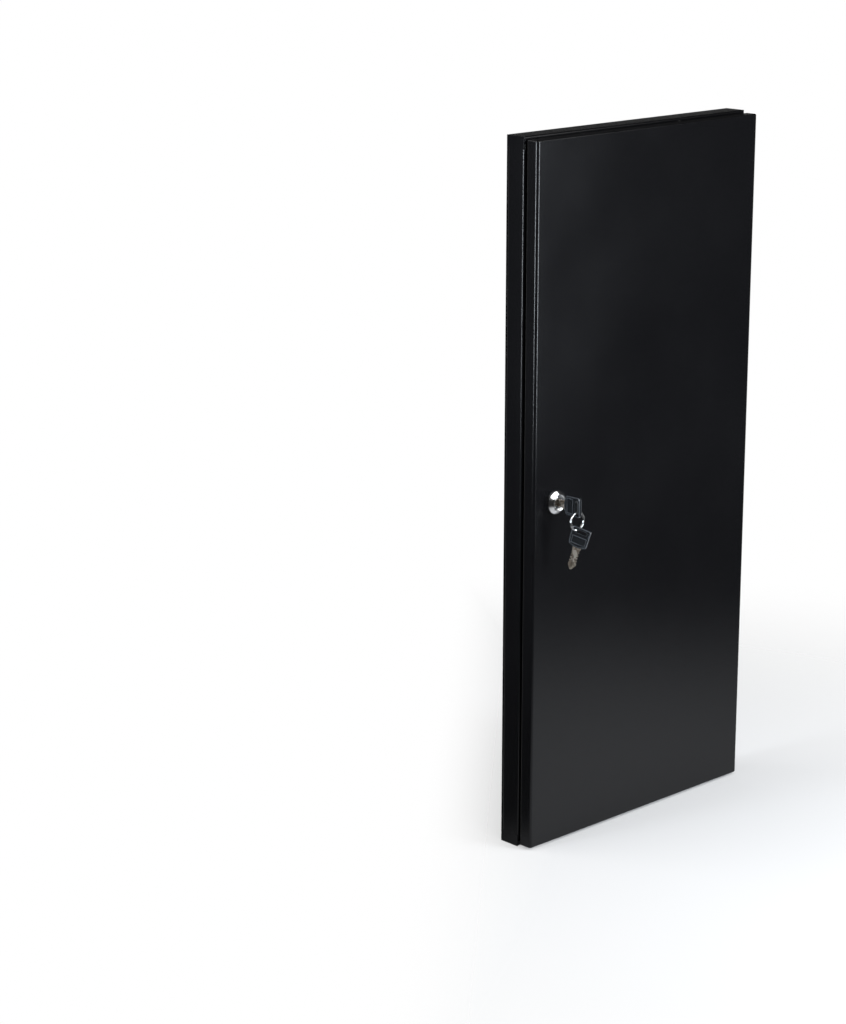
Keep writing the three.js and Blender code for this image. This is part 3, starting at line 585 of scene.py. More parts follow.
def add_tab(bm, end, length):
    """Draws the web on past the flanges, as wide as the channel is deep."""
    web = [edge for edge in bm.edges if edge.is_boundary and all(abs(v.co.z - end) < 1e-4 for v in edge.verts)]
    web = [max(web, key=lambda edge: edge.calc_length())]
    up = 1 if end > 0 else -1
    for rise, spread in ((TAB_RELIEF, CARCASS_FOLD - TAB_RELIEF), (length - TAB_RELIEF, 0)):
        grown = bmesh.ops.extrude_edge_only(bm, edges=web)["geom"]
        moved = [item for item in grown if isinstance(item, bmesh.types.BMVert)]
        web = [item for item in grown if isinstance(item, bmesh.types.BMEdge) and set(item.verts) == set(moved)]
        bmesh.ops.translate(bm, verts=moved, vec=(0, 0, up * rise))
        for vert in moved:
            vert.co.y += spread if vert.co.y > RAIL_DEPTH / 2 else -spread


def channel(length, tab=0.0):
    """A channel on its own axes: web at X 0, flanges towards +X, front at Y 0."""
    profile = [(FLANGE, 0), (0, 0), (0, RAIL_DEPTH), (FLANGE, RAIL_DEPTH)]
    bm = strip(profile, length - 2 * tab, CARCASS_FOLD)
    if tab:
        for end in (-1, 1):
            add_tab(bm, end * (length / 2 - tab), tab)
    bmesh.ops.recalc_face_normals(bm, faces=bm.faces)
    outside = min(bm.faces, key=lambda face: face.calc_center_median().x)
    if outside.normal.x > 0:
        bmesh.ops.reverse_faces(bm, faces=bm.faces)
    return bm


def rails():
    height = RAIL_HIGH.z - RAIL_LOW.z
    width = box_mm("top_rail")[1].x - box_mm("top_rail")[0].x
    tab = FLANGE + CARCASS_SEAM
    half_width = -RAIL_LOW.x
    side = Matrix.Translation((-half_width, RAIL_LOW.y, 0))
    end = Matrix.Translation((-height / 2, RAIL_LOW.y, 0))
    for name, node, length, cut, place, turn in (
        ("left_channel", "left_side_rail", height, tab, side, 0),
        ("right_channel", "right_side_rail", height, tab, side, 180),
        ("top_channel", "top_rail", width, 0, end, 90),
        ("bottom_channel", "bottom_rail", width, 0, end, -90),
    ):
        bm = channel(length, cut)
        bm.transform(Matrix.Rotation(radians(turn), 4, "Y") @ place)
        finished(bm, name, node, wall=SHEET, edge=0.2)
        print(f"{name} {length:.1f} mm long")


rails()

# %% [markdown]
# ## The door's stiffener
# A wide thin sheet drums when it shuts, so a pressed hat section is spot-welded down the middle
# of the door's inside. Its crown stands off the sheet and its two flanges lie on it.

# %% Stiffener
HAT_SHEET = 0.8
HAT_FOLD = 1.6


def stiffener():
    low, high = box_mm("door_stiffener")
    rise = high.y - low.y
    half = (high.x - low.x) / 2
    crown, foot = 9.8, 12.8
    profile = [(-half, HAT_SHEET), (-foot, HAT_SHEET), (-crown, rise), (crown, rise), (foot, HAT_SHEET), (half, HAT_SHEET)]
    bm = strip(profile, high.z - low.z, HAT_FOLD)
    top = max(bm.faces, key=lambda face: face.calc_center_median().y)
    if top.normal.y < 0:
        bmesh.ops.reverse_faces(bm, faces=bm.faces)
    bm.transform(Matrix.Translation((0, low.y, 0)))
    return finished(bm, "door_hat_section", "door_stiffener", wall=HAT_SHEET, edge=0.15)


stiffener()
print("stiffener made")

# %% [markdown]
# ## Back sheet and tool panel
# The back sheet is flat, with four bolt holes and four screw holes. The tool panel in front of it
# has rows of square holes for hooks. Two cuts beside every row and column make a grid whose small
# cells are deleted; round holes over the bolts let a driver through, and the rim is folded back.

# %% Sheets with holes
FIXING = (95.0, 285.0)
FIXING_HOLE = 3.25
ACCESS_HOLE = 8.0
PANEL_SCREW = (133.0, 323.0)
SCREW_HOLE = 2.4
HOOK_PITCH = 38.0
HOOK_HOLE = 10.0
HOOK_COLUMNS = 7
HOOK_ROWS = 17
PANEL_FOLD = 1.4


def corners(x, y):
    return [(x * a, y * b) for a in (-1, 1) for b in (-1, 1)]


def back_sheet():
    low, high = box_mm("back_panel")
    bm = rectangle(high.x - low.x, high.z - low.z)
    for x, y in corners(*FIXING):
        punch(bm, x, y, FIXING_HOLE, 2.0)
    for x, y in corners(*PANEL_SCREW):
        punch(bm, x, y, SCREW_HOLE, 1.5, sides=24)
    bmesh.ops.recalc_face_normals(bm, faces=bm.faces)
    if bm.faces[:][0].normal.z < 0:
        bmesh.ops.reverse_faces(bm, faces=bm.faces)
    bm.transform(facing_front(low.y))
    return finished(bm, "back_sheet", "back_panel", wall=high.y - low.y, edge=0.15)


def hook_lines(count):
    """The places of the cuts on both sides of each row of hook holes."""
    middles = [(place - (count - 1) / 2) * HOOK_PITCH for place in range(count)]
    return [middle + side * HOOK_HOLE / 2 for middle in middles for side in (-1, 1)]


def is_hook_hole(face):
    middle = face.calc_center_median()
    on_column = abs((middle.x + HOOK_PITCH / 2) % HOOK_PITCH - HOOK_PITCH / 2) < HOOK_HOLE / 2
    on_row = abs((middle.y + HOOK_PITCH / 2) % HOOK_PITCH - HOOK_PITCH / 2) < HOOK_HOLE / 2
    near = abs(middle.x) < HOOK_COLUMNS * HOOK_PITCH / 2 and abs(middle.y) < HOOK_ROWS * HOOK_PITCH / 2
    return on_column and on_row and near


def tool_panel():
    low, high = box_mm("tool_panel")
    bm = rectangle(high.x - low.x, high.z - low.z)
    for direction, count in (((1, 0, 0), HOOK_COLUMNS), ((0, 1, 0), HOOK_ROWS)):
        for line in hook_lines(count):
            geom = [*bm.verts, *bm.edges, *bm.faces]
            place = Vector(direction) * line
            bmesh.ops.bisect_plane(bm, geom=geom, dist=1e-6, plane_co=place, plane_no=direction)
    rim = [edge for edge in bm.edges if edge.is_boundary]
    holes = [face for face in bm.faces if is_hook_hole(face)]
    bmesh.ops.delete(bm, geom=holes, context="FACES")
    for x, y in corners(*FIXING):
        punch(bm, x, y, ACCESS_HOLE, 3.0)
    for x, y in corners(*PANEL_SCREW):
        punch(bm, x, y, SCREW_HOLE, 1.5, sides=24)
    rim = [edge for edge in bm.edges if edge.is_boundary and on_border(edge, high.x, high.z)]
    grown = bmesh.ops.extrude_edge_only(bm, edges=rim)["geom"]
    moved = [item for item in grown if isinstance(item, bmesh.types.BMVert)]
    bmesh.ops.translate(bm, verts=moved, vec=(0, 0, low.y - high.y))
    bmesh.ops.bevel(bm, geom=rim, offset=PANEL_FOLD, segments=4, profile=0.5, affect="EDGES", material=-1)
    bmesh.ops.recalc_face_normals(bm, faces=bm.faces)
    front = max(bm.faces, key=lambda face: face.calc_center_median().z)
    if front.normal.z < 0:
        bmesh.ops.reverse_faces(bm, faces=bm.faces)
    bm.transform(facing_front(low.y))
    print(f"tool panel with {len(holes)} hook holes")
    return finished(bm, "perforated_panel", "tool_panel", wall=SHEET, edge=0.15)


def on_border(edge, x, y):
    """True for an edge that lies on the panel's outer border."""
    a, b = (vert.co for vert in edge.verts)
    on_side = abs(abs(a.x) - x) < 1e-3 and abs(abs(b.x) - x) < 1e-3
    on_end = abs(abs(a.y) - y) < 1e-3 and abs(abs(b.y) - y) < 1e-3
    return on_side or on_end


back_sheet()
tool_panel()

# %% [markdown]
# ## Panel screws, spacers and bumpers
# Four pan-head screws with a cross recess hold the panel on steel spacers. The recess is a cross
# drawn in the flat top of the head, bridged to the head's rim and pressed in with a taper. The
# bumpers are small domed rubber buttons on the flange, which the door closes on.

# %% Screws
CROSS_REACH = 1.7
CROSS_HALF = 0.42
CROSS_DEPTH = 1.3
CROSS_CORNERS = 12


def cross_corners(reach, half):
    quarter = [(half, reach), (half, half), (reach, half)]
    points = []
    for turn in range(4):
        c, s = round(cos(turn * pi / 2)), round(sin(turn * pi / 2))
        points += [(x * c + y * s, y * c - x * s) for x, y in quarter]
    return points


def cross_head_screw(profile, top):
    """A screw along +Y whose head ends in a flat at `top`, where a tapered cross is pressed in."""
    bm = turned(profile, sides=4 * CROSS_CORNERS)
    cross = [bm.verts.new((x, top, z)) for x, z in cross_corners(CROSS_REACH, CROSS_HALF)]
    loop = [bm.edges.new(pair) for pair in zip(cross, cross[1:] + cross[:1])]
    corners = parted(bm, loop, 3)
    loop = list({edge for vert in corners for edge in vert.link_edges})
    rim = {vert for edge in bm.edges if edge.is_boundary for vert in edge.verts}
    join_rings(bm, rim, corners, up=1)
    grown = bmesh.ops.extrude_edge_only(bm, edges=loop)["geom"]
    floor = [item for item in grown if isinstance(item, bmesh.types.BMVert)]
    ring = [item for item in grown if isinstance(item, bmesh.types.BMEdge)]
    down = CROSS_DEPTH if top < profile[-1][1] else -CROSS_DEPTH
    bmesh.ops.translate(bm, verts=floor, vec=(0, down, 0))
    bmesh.ops.scale(bm, verts=floor, vec=(0.6, 1, 0.6))
    ends = [edge for edge in ring if edge.is_boundary]
    bmesh.ops.edgeloop_fill(bm, edges=ends)
    bmesh.ops.recalc_face_normals(bm, faces=bm.faces)
    return bm


def panel_fixings():
    for number in range(1, 5):
        low, high = box_mm(f"tool_panel_screw_{number}")
        middle = (low + high) / 2
        seat = low.y + 2.6
        profile = [
            (2.1, low.y), (3.0, low.y + 0.25), (3.6, low.y + 0.75), (3.95, low.y + 1.5), (4.0, seat - 0.2),
            (3.85, seat), (2.0, seat), (2.0, high.y - 0.5), (1.6, high.y), (0, high.y),
        ]
        bm = cross_head_screw(profile, low.y)
        bm.transform(at(middle.x, 0, middle.z))
        finished(bm, f"panel_screw_{number}", f"tool_panel_screw_{number}", edge=0.06)
        low, high = box_mm(f"tool_panel_spacer_{number}")
        middle = (low + high) / 2
        profile = [
            (2.4, low.y + 0.2), (2.6, low.y), (4.7, low.y), (5.0, low.y + 0.3),
            (5.0, high.y - 0.3), (4.7, high.y), (2.6, high.y), (2.4, high.y - 0.2),
        ]
        bm = turned(profile, closed=True)
        bm.transform(at(middle.x, 0, middle.z))
        finished(bm, f"panel_spacer_{number}", f"tool_panel_spacer_{number}")


def bumpers():
    for number in range(1, 5):
        low, high = box_mm(f"door_bumper_{number}")
        middle = (low + high) / 2
        profile = [
            (0, low.y + 0.3), (0.8, low.y + 0.25), (1.3, low.y + 0.06), (1.8, low.y), (2.4, low.y + 0.15),
            (2.9, low.y + 0.6), (3.2, low.y + 1.4), (3.4, high.y - 0.5), (3.5, high.y), (0, high.y),
        ]
        bm = turned(profile)
        bm.transform(at(middle.x, 0, middle.z))
        finished(bm, f"rubber_bumper_{number}", f"door_bumper_{number}")


panel_fixings()
bumpers()
print("four screws, spacers and bumpers made")

# %% [markdown]
# ## Butt hinges
# A hinge leaf is a steel plate whose end is rolled round the pin. The plate is drawn as one skin,
# the parts of its edge that carry a knuckle are drawn on and spun about the pin most of the way
# round, and a wall is given to it all, so that the seam of the roll shows as on a real hinge.

# %% Hinges
LEAF_SHEET = 1.2
LEAF_MIDDLE = 1.1
LEAF_REACH = 14.5
PLATE_END = 3.3
ROLL_RADIUS = 2.375
ROLL_ANGLE = 300
LEAF_CORNER = 2.0


def hinge_leaf(half, knuckles, side):
    """A leaf about its pin. Side 1 lies behind the pin, on the carcass, and -1 before it, on the door."""
    bm = bmesh.new()
    y = side * LEAF_MIDDLE
    outline = [(-LEAF_REACH, -half), (-PLATE_END, -half), (-PLATE_END, half), (-LEAF_REACH, half)]
    bm.faces.new([bm.verts.new((x, y, z)) for x, z in outline])
    outer = [vert for vert in bm.verts if vert.co.x < -PLATE_END - 1]
    bmesh.ops.bevel(bm, geom=outer, offset=LEAF_CORNER, segments=4, profile=0.5, affect="VERTICES", material=-1)
    for z in {end for knuckle in knuckles for end in knuckle if abs(end) < half - 1e-6}:
        geom = [*bm.verts, *bm.edges, *bm.faces]
        bmesh.ops.bisect_plane(bm, geom=geom, dist=1e-6, plane_co=(0, 0, z), plane_no=(0, 0, 1))
    start = -sqrt(ROLL_RADIUS**2 - LEAF_MIDDLE**2)
    for low, high in knuckles:
        roll_knuckle(bm, low, high, start, side)
    bmesh.ops.recalc_face_normals(bm, faces=bm.faces)
    return bm


def roll_knuckle(bm, low, high, start, side):
    def on_end(edge):
        return all(abs(v.co.x + PLATE_END) < 1e-4 and low - 1e-4 < v.co.z < high + 1e-4 for v in edge.verts)

    ends = [edge for edge in bm.edges if edge.is_boundary and on_end(edge)]
    grown = bmesh.ops.extrude_edge_only(bm, edges=ends)["geom"]
    verts = [item for item in grown if isinstance(item, bmesh.types.BMVert)]
    edges = [item for item in grown if isinstance(item, bmesh.types.BMEdge) and set(item.verts) <= set(verts)]
    for vert in verts:
        vert.co.x = start
    bmesh.ops.spin(
        bm, geom=verts + edges, cent=(0, 0, 0), axis=(0, 0, 1), angle=radians(-side * ROLL_ANGLE), steps=20
    )


def hinges():
    for name in ("upper", "lower"):
        low, high = box_mm(f"{name}_hinge_pin")
        pin = (low + high) / 2
        leaf_low, leaf_high = box_mm(f"{name}_hinge_fixed_leaf")
        half = (leaf_high.z - leaf_low.z) / 2
        third = half / 3
        for kind, knuckles, side in (
            ("fixed", [(-half, -third), (third, half)], 1),
            ("moving", [(0.3 - third, third - 0.3)], -1),
        ):
            bm = hinge_leaf(half, knuckles, side)
            bm.transform(Matrix.Translation(pin))
            node = f"{name}_hinge_{kind}_leaf"
            finished(bm, f"{name}_{kind}_leaf", node, wall=LEAF_SHEET, side=0.0, edge=0.15)
        end = (high.z - low.z) / 2
        profile = [
            (0, -end), (1.5, -end + 0.05), (2.1, -end + 0.4), (2.3, -end + 0.9), (2.2, -end + 1.2), (1.5, -end + 1.2),
            (1.5, end - 1.2), (2.2, end - 1.2), (2.3, end - 0.9), (2.1, end - 0.4), (1.5, end - 0.05), (0, end),
        ]
        bm = turned(profile, sides=32)
        bm.transform(Matrix.Translation(pin) @ Matrix.Rotation(radians(90), 4, "X"))
        finished(bm, f"{name}_pin", f"{name}_hinge_pin")


def rivets():
    for name in ("upper", "lower"):
        for kind, turn in (("fixed", 0), ("moving", pi)):
            for number in (1, 2):
                node = f"{name}_{kind}_rivet_{number}"
                low, high = box_mm(node)
                middle = (low + high) / 2
                length = high.y - low.y
                tail = length - 1.2
                profile = [
                    (0, 0), (2.7, 0), (3.0, 0.15), (3.0, 0.45), (1.6, 0.45), (1.6, tail), (2.6, tail),
                    (2.6, tail + 0.4), (2.2, tail + 0.85), (1.3, tail + 1.15), (0, length),
                ]
                bm = turned(profile, sides=32)
                bm.transform(at(middle.x, low.y if kind == "fixed" else high.y, middle.z, turn))
                finished(bm, f"{name}_{kind}_rivet_head_{number}", node)


hinges()
rivets()
print("two hinges and eight rivets made")

# %% [markdown]
# ## The cam lock
# A chromed housing goes through the door and is held by a nut behind it. Its bezel is a dished
# ring: a cone rises from the door to a thin crest, then falls back to the plug. The barrel behind
# is threaded and has two flats, cut by bisecting the turned body and filling the cut.

# %% Lock housing
def lock_housing():
    low, high = box_mm("lock_housing")
    front = LOCK.y
    bm = bmesh.new()
    thread = []
    for turn in range(11):
        along = 1.6 + turn * 1.5
        thread += [(9.0, along), (8.55, along + 0.5), (8.55, along + 0.7), (9.0, along + 1.2)]
    barrel = [(6.55, -0.3), (9.0, -0.3), *thread, (8.7, high.y - front), (6.55, high.y - front)]
    spin_into(bm, barrel, closed=True)
    for side in (-1, 1):
        geom = [*bm.verts, *bm.edges, *bm.faces]
        cut = bmesh.ops.bisect_plane(
            bm, geom=geom, dist=1e-6, plane_co=(0, 0, side * 7.8), plane_no=(0, 0, side), clear_outer=True
        )
        rim = [item for item in cut["geom_cut"] if isinstance(item, bmesh.types.BMEdge)]
        bmesh.ops.edgeloop_fill(bm, edges=rim)
    crest = low.y - front
    bezel = [
        (6.5, -0.05), (6.5, -1.9), (6.62, -2.05), (7.35, -3.2), (7.6, -3.75), (7.9, crest + 0.12), (8.25, crest),
        (8.65, crest + 0.1), (8.95, crest + 0.35), (11.55, -1.35), (11.85, -1.05), (12.0, -0.7), (12.0, -0.05),
    ]
    spin_into(bm, bezel, closed=True, sides=72)
    bm.transform(Matrix.Translation((LOCK.x, front, LOCK.z)))
    return finished(bm, "lock_bezel", "lock_housing")


lock_housing()

# %% Nut and washers
def hexagonal_nut(across_flats, bore, name, node):
    """A hexagon bridged to a round bore, with its thickness from a wall and its corners eased."""
    low, high = box_mm(node)
    bm = bmesh.new()
    outline = bmesh.ops.create_circle(bm, cap_ends=False, radius=across_flats / sqrt(3), segments=6)["verts"]
    sides = list({edge for vert in outline for edge in vert.link_edges})
    outer = parted(bm, sides, 5)
    ring = bmesh.ops.create_circle(bm, cap_ends=False, radius=bore, segments=36)["verts"]
    join_rings(bm, outer, ring)
    bmesh.ops.recalc_face_normals(bm, faces=bm.faces)
    if bm.faces[:][0].normal.z > 0:
        bmesh.ops.reverse_faces(bm, faces=bm.faces)
    bm.transform(Matrix.Translation((LOCK.x, 0, LOCK.z)) @ facing_front(high.y))
    return finished(bm, name, node, wall=high.y - low.y, edge=0.35)


def flat_washer(name, node, outer, bore):
    low, high = box_mm(node)
    ease = 0.2
    profile = [
        (bore, low.y), (outer - ease, low.y), (outer, low.y + ease), (outer, high.y - ease), (outer - ease, high.y),
        (bore, high.y),
    ]
    bm = turned(profile, closed=True)
    bm.transform(at(LOCK.x, 0, LOCK.z))
    return finished(bm, name, node)


hexagonal_nut(24.0, 9.2, "barrel_nut", "lock_nut")
flat_washer("barrel_washer", "lock_washer", 12.6, 9.3)
flat_washer("cam_spring_washer", "cam_washer", 5.2, 2.4)
print("lock housing, nut and washers made")

# %% [markdown]
# ## Plug and cam
# The key turns the plug, and the plug turns the cam on its square end. The plug's face is a disc
# with the keyway punched as a slot and drawn inwards. The cam is a plain stamped plate, so it is
# a merged copy of the CAD node with its flat faces joined up and its edges eased.

# %% Plug and cam
KEYWAY_HALF = 1.4
KEYWAY_STRETCH = 3.4
KEYWAY_DEPTH = 16.0


def lock_plug():
    low, high = box_mm("lock_plug")
    bm = bmesh.new()
    bmesh.ops.create_circle(bm, cap_ends=True, radius=5.6, segments=48)
    slot = punch(bm, 0, 0, KEYWAY_HALF, 0.25, KEYWAY_STRETCH, sides=24)
    rim = [edge for edge in bm.edges if edge.is_boundary and edge not in slot]
    grow_ring(bm, slot, [(1.0, -KEYWAY_DEPTH)], fill=True)
    steps = [(5.75 / 5.6, 0.25), (6.0 / 5.75, 0.0), (6.2 / 6.0, -0.2), (1.0, -(high.y - low.y) + 2.2), (0.72, 0.0), (1.0, -1.8)]
    grow_ring(bm, rim, steps, fill=True)
    bmesh.ops.recalc_face_normals(bm, faces=bm.faces)
    bm.transform(Matrix.Translation((LOCK.x, 0, LOCK.z)) @ facing_front(low.y + 0.25))
    return finished(bm, "lock_plug_face", "lock_plug")


def grow_ring(bm, edges, steps, fill):
    """Draws a closed ring of edges on through (scale, rise) steps, and fills its last place."""
    for scale, rise in steps:
        grown = bmesh.ops.extrude_edge_only(bm, edges=edges)["geom"]
        verts = [item for item in grown if isinstance(item, bmesh.types.BMVert)]
        edges = [item for item in grown if isinstance(item, bmesh.types.BMEdge) and set(item.verts) <= set(verts)]
        bmesh.ops.scale(bm, verts=verts, vec=(scale, scale, 1))
        bmesh.ops.translate(bm, verts=verts, vec=(0, 0, rise))
    if fill:
        bmesh.ops.edgeloop_fill(bm, edges=edges)


def merged_copy(node):
    """A CAD node's triangles, joined at their shared corners and dissolved into flat faces, in mm."""
    bm = bmesh.new()
    bm.from_mesh(frame["nodes"][node].data)
    bm.transform(Matrix.Scale(1 / MM, 4))
    bmesh.ops.remove_doubles(bm, verts=bm.verts, dist=1e-3)
    bmesh.ops.dissolve_limit(bm, angle_limit=radians(1), verts=bm.verts, edges=bm.edges)
    return bm


def cam_screw():
    low, high = box_mm("cam_screw")
    seat = high.y - 3.0
    profile = [
        (2.2, high.y), (3.2, high.y - 0.2), (3.9, high.y - 0.7), (4.25, high.y - 1.5), (4.3, seat + 0.2), (4.15, seat),
        (2.0, seat), (2.0, low.y + 0.4), (1.6, low.y), (0, low.y),
    ]
    bm = cross_head_screw(profile, high.y)
    bm.transform(at(LOCK.x, 0, LOCK.z))
    return finished(bm, "cam_fixing_screw", "cam_screw", edge=0.06)


lock_plug()
finished(merged_copy("lock_cam"), "lock_cam_plate", "lock_cam", edge=0.25)
cam_screw()
print("plug, cam and cam screw made")

# %% [markdown]
# ## Keys
# Both keys are alike: a nickel blade with cuts on both edges and a milled groove on each face, and
# a black plastic bow with a slot for the ring and a sunk panel with a raised border. A bow is drawn
# as half its thickness, with the slot punched and the panel inset, then mirrored. In these drawings
# X runs along the key towards the tip, Y across it and Z is its thickness.

# %% Key shapes
NECK_HALF = 4.1
BLADE_HALF = 3.9
BLADE_SHEET = 2.2
BLADE_LENGTH = 24.5
BLADE_NECK = 3.2
CUT_PITCH = 3.0
CUT_DEPTHS = (0.6, 1.1, 1.9, 1.9, 0.8)
CUT_TOP = 1.2
CUT_FLOOR = 0.45
TIP_LENGTH = 4.5
TIP_HALF = 0.9
GROOVE = (-0.5, 1.2)
GROOVE_DEPTH = 0.5


def blade_edge():
    """The outline of one edge of the blade, from inside the bow to the tip."""
    points = [(-5.0, 2.6), (-0.6, 2.6), (-0.6, NECK_HALF), (BLADE_NECK - 0.4, NECK_HALF), (BLADE_NECK, BLADE_HALF)]
    for place, depth in enumerate(CUT_DEPTHS):
        middle = BLADE_NECK + (place + 0.5) * CUT_PITCH
        points += [(middle - CUT_TOP, BLADE_HALF), (middle - CUT_FLOOR, BLADE_HALF - depth)]
        points += [(middle + CUT_FLOOR, BLADE_HALF - depth), (middle + CUT_TOP, BLADE_HALF)]
    return points + [(BLADE_LENGTH - TIP_LENGTH, BLADE_HALF), (BLADE_LENGTH, TIP_HALF)]


def key_blade():
    edge = blade_edge()
    bm = drawn(*edge, *[(x, -y) for x, y in reversed(edge)])
    for line in sorted(side * wall for wall in GROOVE for side in (-1, 1)):
        geom = [*bm.verts, *bm.edges, *bm.faces]
        bmesh.ops.bisect_plane(bm, geom=geom, dist=1e-6, plane_co=(0, line, 0), plane_no=(0, 1, 0))
    start = BLADE_NECK / 2
    geom = [*bm.verts, *bm.edges, *bm.faces]
    bmesh.ops.bisect_plane(bm, geom=geom, dist=1e-6, plane_co=(start, 0, 0), plane_no=(1, 0, 0))
    bmesh.ops.recalc_face_normals(bm, faces=bm.faces)
    if bm.faces[:][0].normal.z < 0:
        bmesh.ops.reverse_faces(bm, faces=bm.faces)
    groove = [face for face in bm.faces if in_groove(face.calc_center_median(), start)]
    rim = [e for e in bm.edges if e.is_boundary]
    bmesh.ops.translate(bm, verts=bm.verts, vec=(0, 0, BLADE_SHEET / 2))
    grown = bmesh.ops.extrude_edge_only(bm, edges=rim)["geom"]
    moved = [item for item in grown if isinstance(item, bmesh.types.BMVert)]
    for vert in moved:
        vert.co.z = 0
    bmesh.ops.inset_region(bm, faces=groove, thickness=0.12, depth=-GROOVE_DEPTH, use_boundary=True)
    half_turned(bm)
    return bm


def in_groove(middle, start):
    return middle.x > start and GROOVE[0] < middle.y < GROOVE[1]


def half_turned(bm):
    """Adds the other half of a blade: the same half turned over about the key's length."""
    other = bmesh.ops.duplicate(bm, geom=[*bm.verts, *bm.edges, *bm.faces])["geom"]
    verts = [item for item in other if isinstance(item, bmesh.types.BMVert)]
    bmesh.ops.rotate(bm, verts=verts, cent=(0, 0, 0), matrix=Matrix.Rotation(pi, 3, "X"))
    bmesh.ops.remove_doubles(bm, verts=bm.verts, dist=1e-4)
    bmesh.ops.recalc_face_normals(bm, faces=bm.faces)


# %% Bow
BOW_SHEET = 3.6
BOW_LENGTH = 20.0
BOW_HALF = 10.2
BOW_CORNER = 2.4
BOW_EDGE = 0.75
EDGE_STEPS = 4
THROAT = (-1.5, 9.6)
THROAT_BULGE = 2.4
THROAT_CORNER = 0.9
BORDER_STEPS = ((0.25, 0.0), (0.3, -0.4))
SLOT_FROM_END = 2.4
SLOT_WIDTH = 3.4
SLOT_HALF = 6.5
SLOT_COLLAR = 0.5
SLOT_MARGIN = 0.3
PANEL_ALONG = (-11.0, -2.2)
PANEL_HALF = 7.9
PANEL_STEPS = ((0.35, 0.5), (0.4, 0.0), (0.4, -0.7))
# Face slopes that get the painted edge highlight, with some scuffing.
HIGHLIGHT_AND_SCUFF_SLOPES = (0.15, 0.97)


def bow_outline():
    """The bow's flat outline, with a bulged throat and four rounded corners."""
    back, half = THROAT
    bm = drawn((back, -half), (-BOW_LENGTH, -BOW_HALF), (-BOW_LENGTH, BOW_HALF), (back, half))
    throat = max(bm.edges, key=lambda edge: sum(vert.co.x for vert in edge.verts))
    bmesh.ops.subdivide_edges(bm, edges=[throat], cuts=9)
    for vert in bm.verts:
        if vert.co.x > back - 1e-5:
            vert.co.x += THROAT_BULGE * (1 - (vert.co.y / half) ** 2)
    for reach, size in ((BOW_HALF, BOW_CORNER), (half, THROAT_CORNER)):
        pair = [vert for vert in bm.verts if abs(abs(vert.co.y) - reach) < 1e-5]
        bmesh.ops.bevel(bm, geom=pair, offset=size, segments=5, profile=0.5, affect="VERTICES", material=-1)
    bmesh.ops.recalc_face_normals(bm, faces=bm.faces)
    if bm.faces[:][0].normal.z < 0:
        bmesh.ops.reverse_faces(bm, faces=bm.faces)
    return bm


def stepped(bm, face, steps):
    """Insets a face through (width, rise) steps."""
    for width, rise in steps:
        bmesh.ops.inset_region(bm, faces=[face], thickness=width, depth=rise, use_even_offset=True)


def rounded_steps(radius, count):
    """The inset steps of a quarter round."""
    turns = [place * pi / 2 / count for place in range(count + 1)]
    return [(radius * (cos(a) - cos(b)), radius * (sin(b) - sin(a))) for a, b in zip(turns, turns[1:])]


def ring_slot(bm, x):
    """Punches the slot with a raised collar round it, down to the middle of the bow."""
    radius = SLOT_WIDTH / 2
    reach = SLOT_HALF - radius
    edges = punch(bm, x, 0, radius + SLOT_COLLAR, SLOT_MARGIN, reach, sides=24)
    top = BOW_SHEET / 2
    for size, height in ((radius + SLOT_COLLAR * 0.7, top), (radius + SLOT_COLLAR * 0.3, top), (radius, top - 0.3), (radius, 0)):
        grown = bmesh.ops.extrude_edge_only(bm, edges=edges)["geom"]
        verts = [item for item in grown if isinstance(item, bmesh.types.BMVert)]
        edges = [item for item in grown if isinstance(item, bmesh.types.BMEdge) and set(item.verts) <= set(verts)]
        for vert in verts:
            middle = Vector((x, reach if vert.co.y > 0 else -reach))
            vert.co.xy = middle + (vert.co.xy - middle).normalized() * size
            vert.co.z = height


def key_bow():
    bm = bow_outline()
    middle = bm.faces[:]
    grown = bmesh.ops.extrude_face_region(bm, geom=middle)["geom"]
    bmesh.ops.delete(bm, geom=middle, context="FACES_ONLY")
    moved = [item for item in grown if isinstance(item, bmesh.types.BMVert)]
    bmesh.ops.translate(bm, verts=moved, vec=(0, 0, BOW_SHEET / 2 - BOW_EDGE))
    field = next(item for item in grown if isinstance(item, bmesh.types.BMFace))
    stepped(bm, field, rounded_steps(BOW_EDGE, EDGE_STEPS))
    stepped(bm, field, BORDER_STEPS)
    panel_x = sum(PANEL_ALONG) / 2
    panel = fenced(bm, panel_x, 0, PANEL_ALONG[1] - panel_x, PANEL_HALF)
    stepped(bm, panel, PANEL_STEPS)
    ring_slot(bm, SLOT_FROM_END - BOW_LENGTH + SLOT_WIDTH / 2)
    bmesh.ops.mirror(bm, geom=[*bm.verts, *bm.edges, *bm.faces], axis="Z", merge_dist=1e-4)
    bmesh.ops.recalc_face_normals(bm, faces=bm.faces)
    mark_edges(bm)
    return bm


def mark_edges(bm):
    """Notes on each face whether it is a rounded or sloping one, which gets the painted edge highlight and scuffs."""
    # Rounded and sloping faces carry the painted edge highlight.
    layer = bm.faces.layers.float.new(EDGE_LAYER)
    for face in bm.faces:
        face[layer] = float(HIGHLIGHT_AND_SCUFF_SLOPES[0] < abs(face.normal.z) < HIGHLIGHT_AND_SCUFF_SLOPES[1])


# %% [markdown]
# ## Where the keys are
# One key stands in the lock, its width upright. The spare hangs from the ring by the end of its
# slot, turned to the left and leaning, as in the photograph; the same turn and tilt place the
# spare in the CAD model, so both share their space exactly.

# %% Key places
KEY_OUT = 12.9
SPARE_AZIMUTH = radians(-67)
SPARE_TILT = radians(15.5)
SPARE_ACROSS = -4.7
SPARE_GAP = 0.7
RING_WIRE = 1.3
RING_LOW, RING_HIGH = box_mm("key_ring")
RING_MIDDLE = (RING_LOW + RING_HIGH) / 2
RING_RADIUS = (RING_HIGH.z - RING_LOW.z) / 2 - RING_WIRE / 2


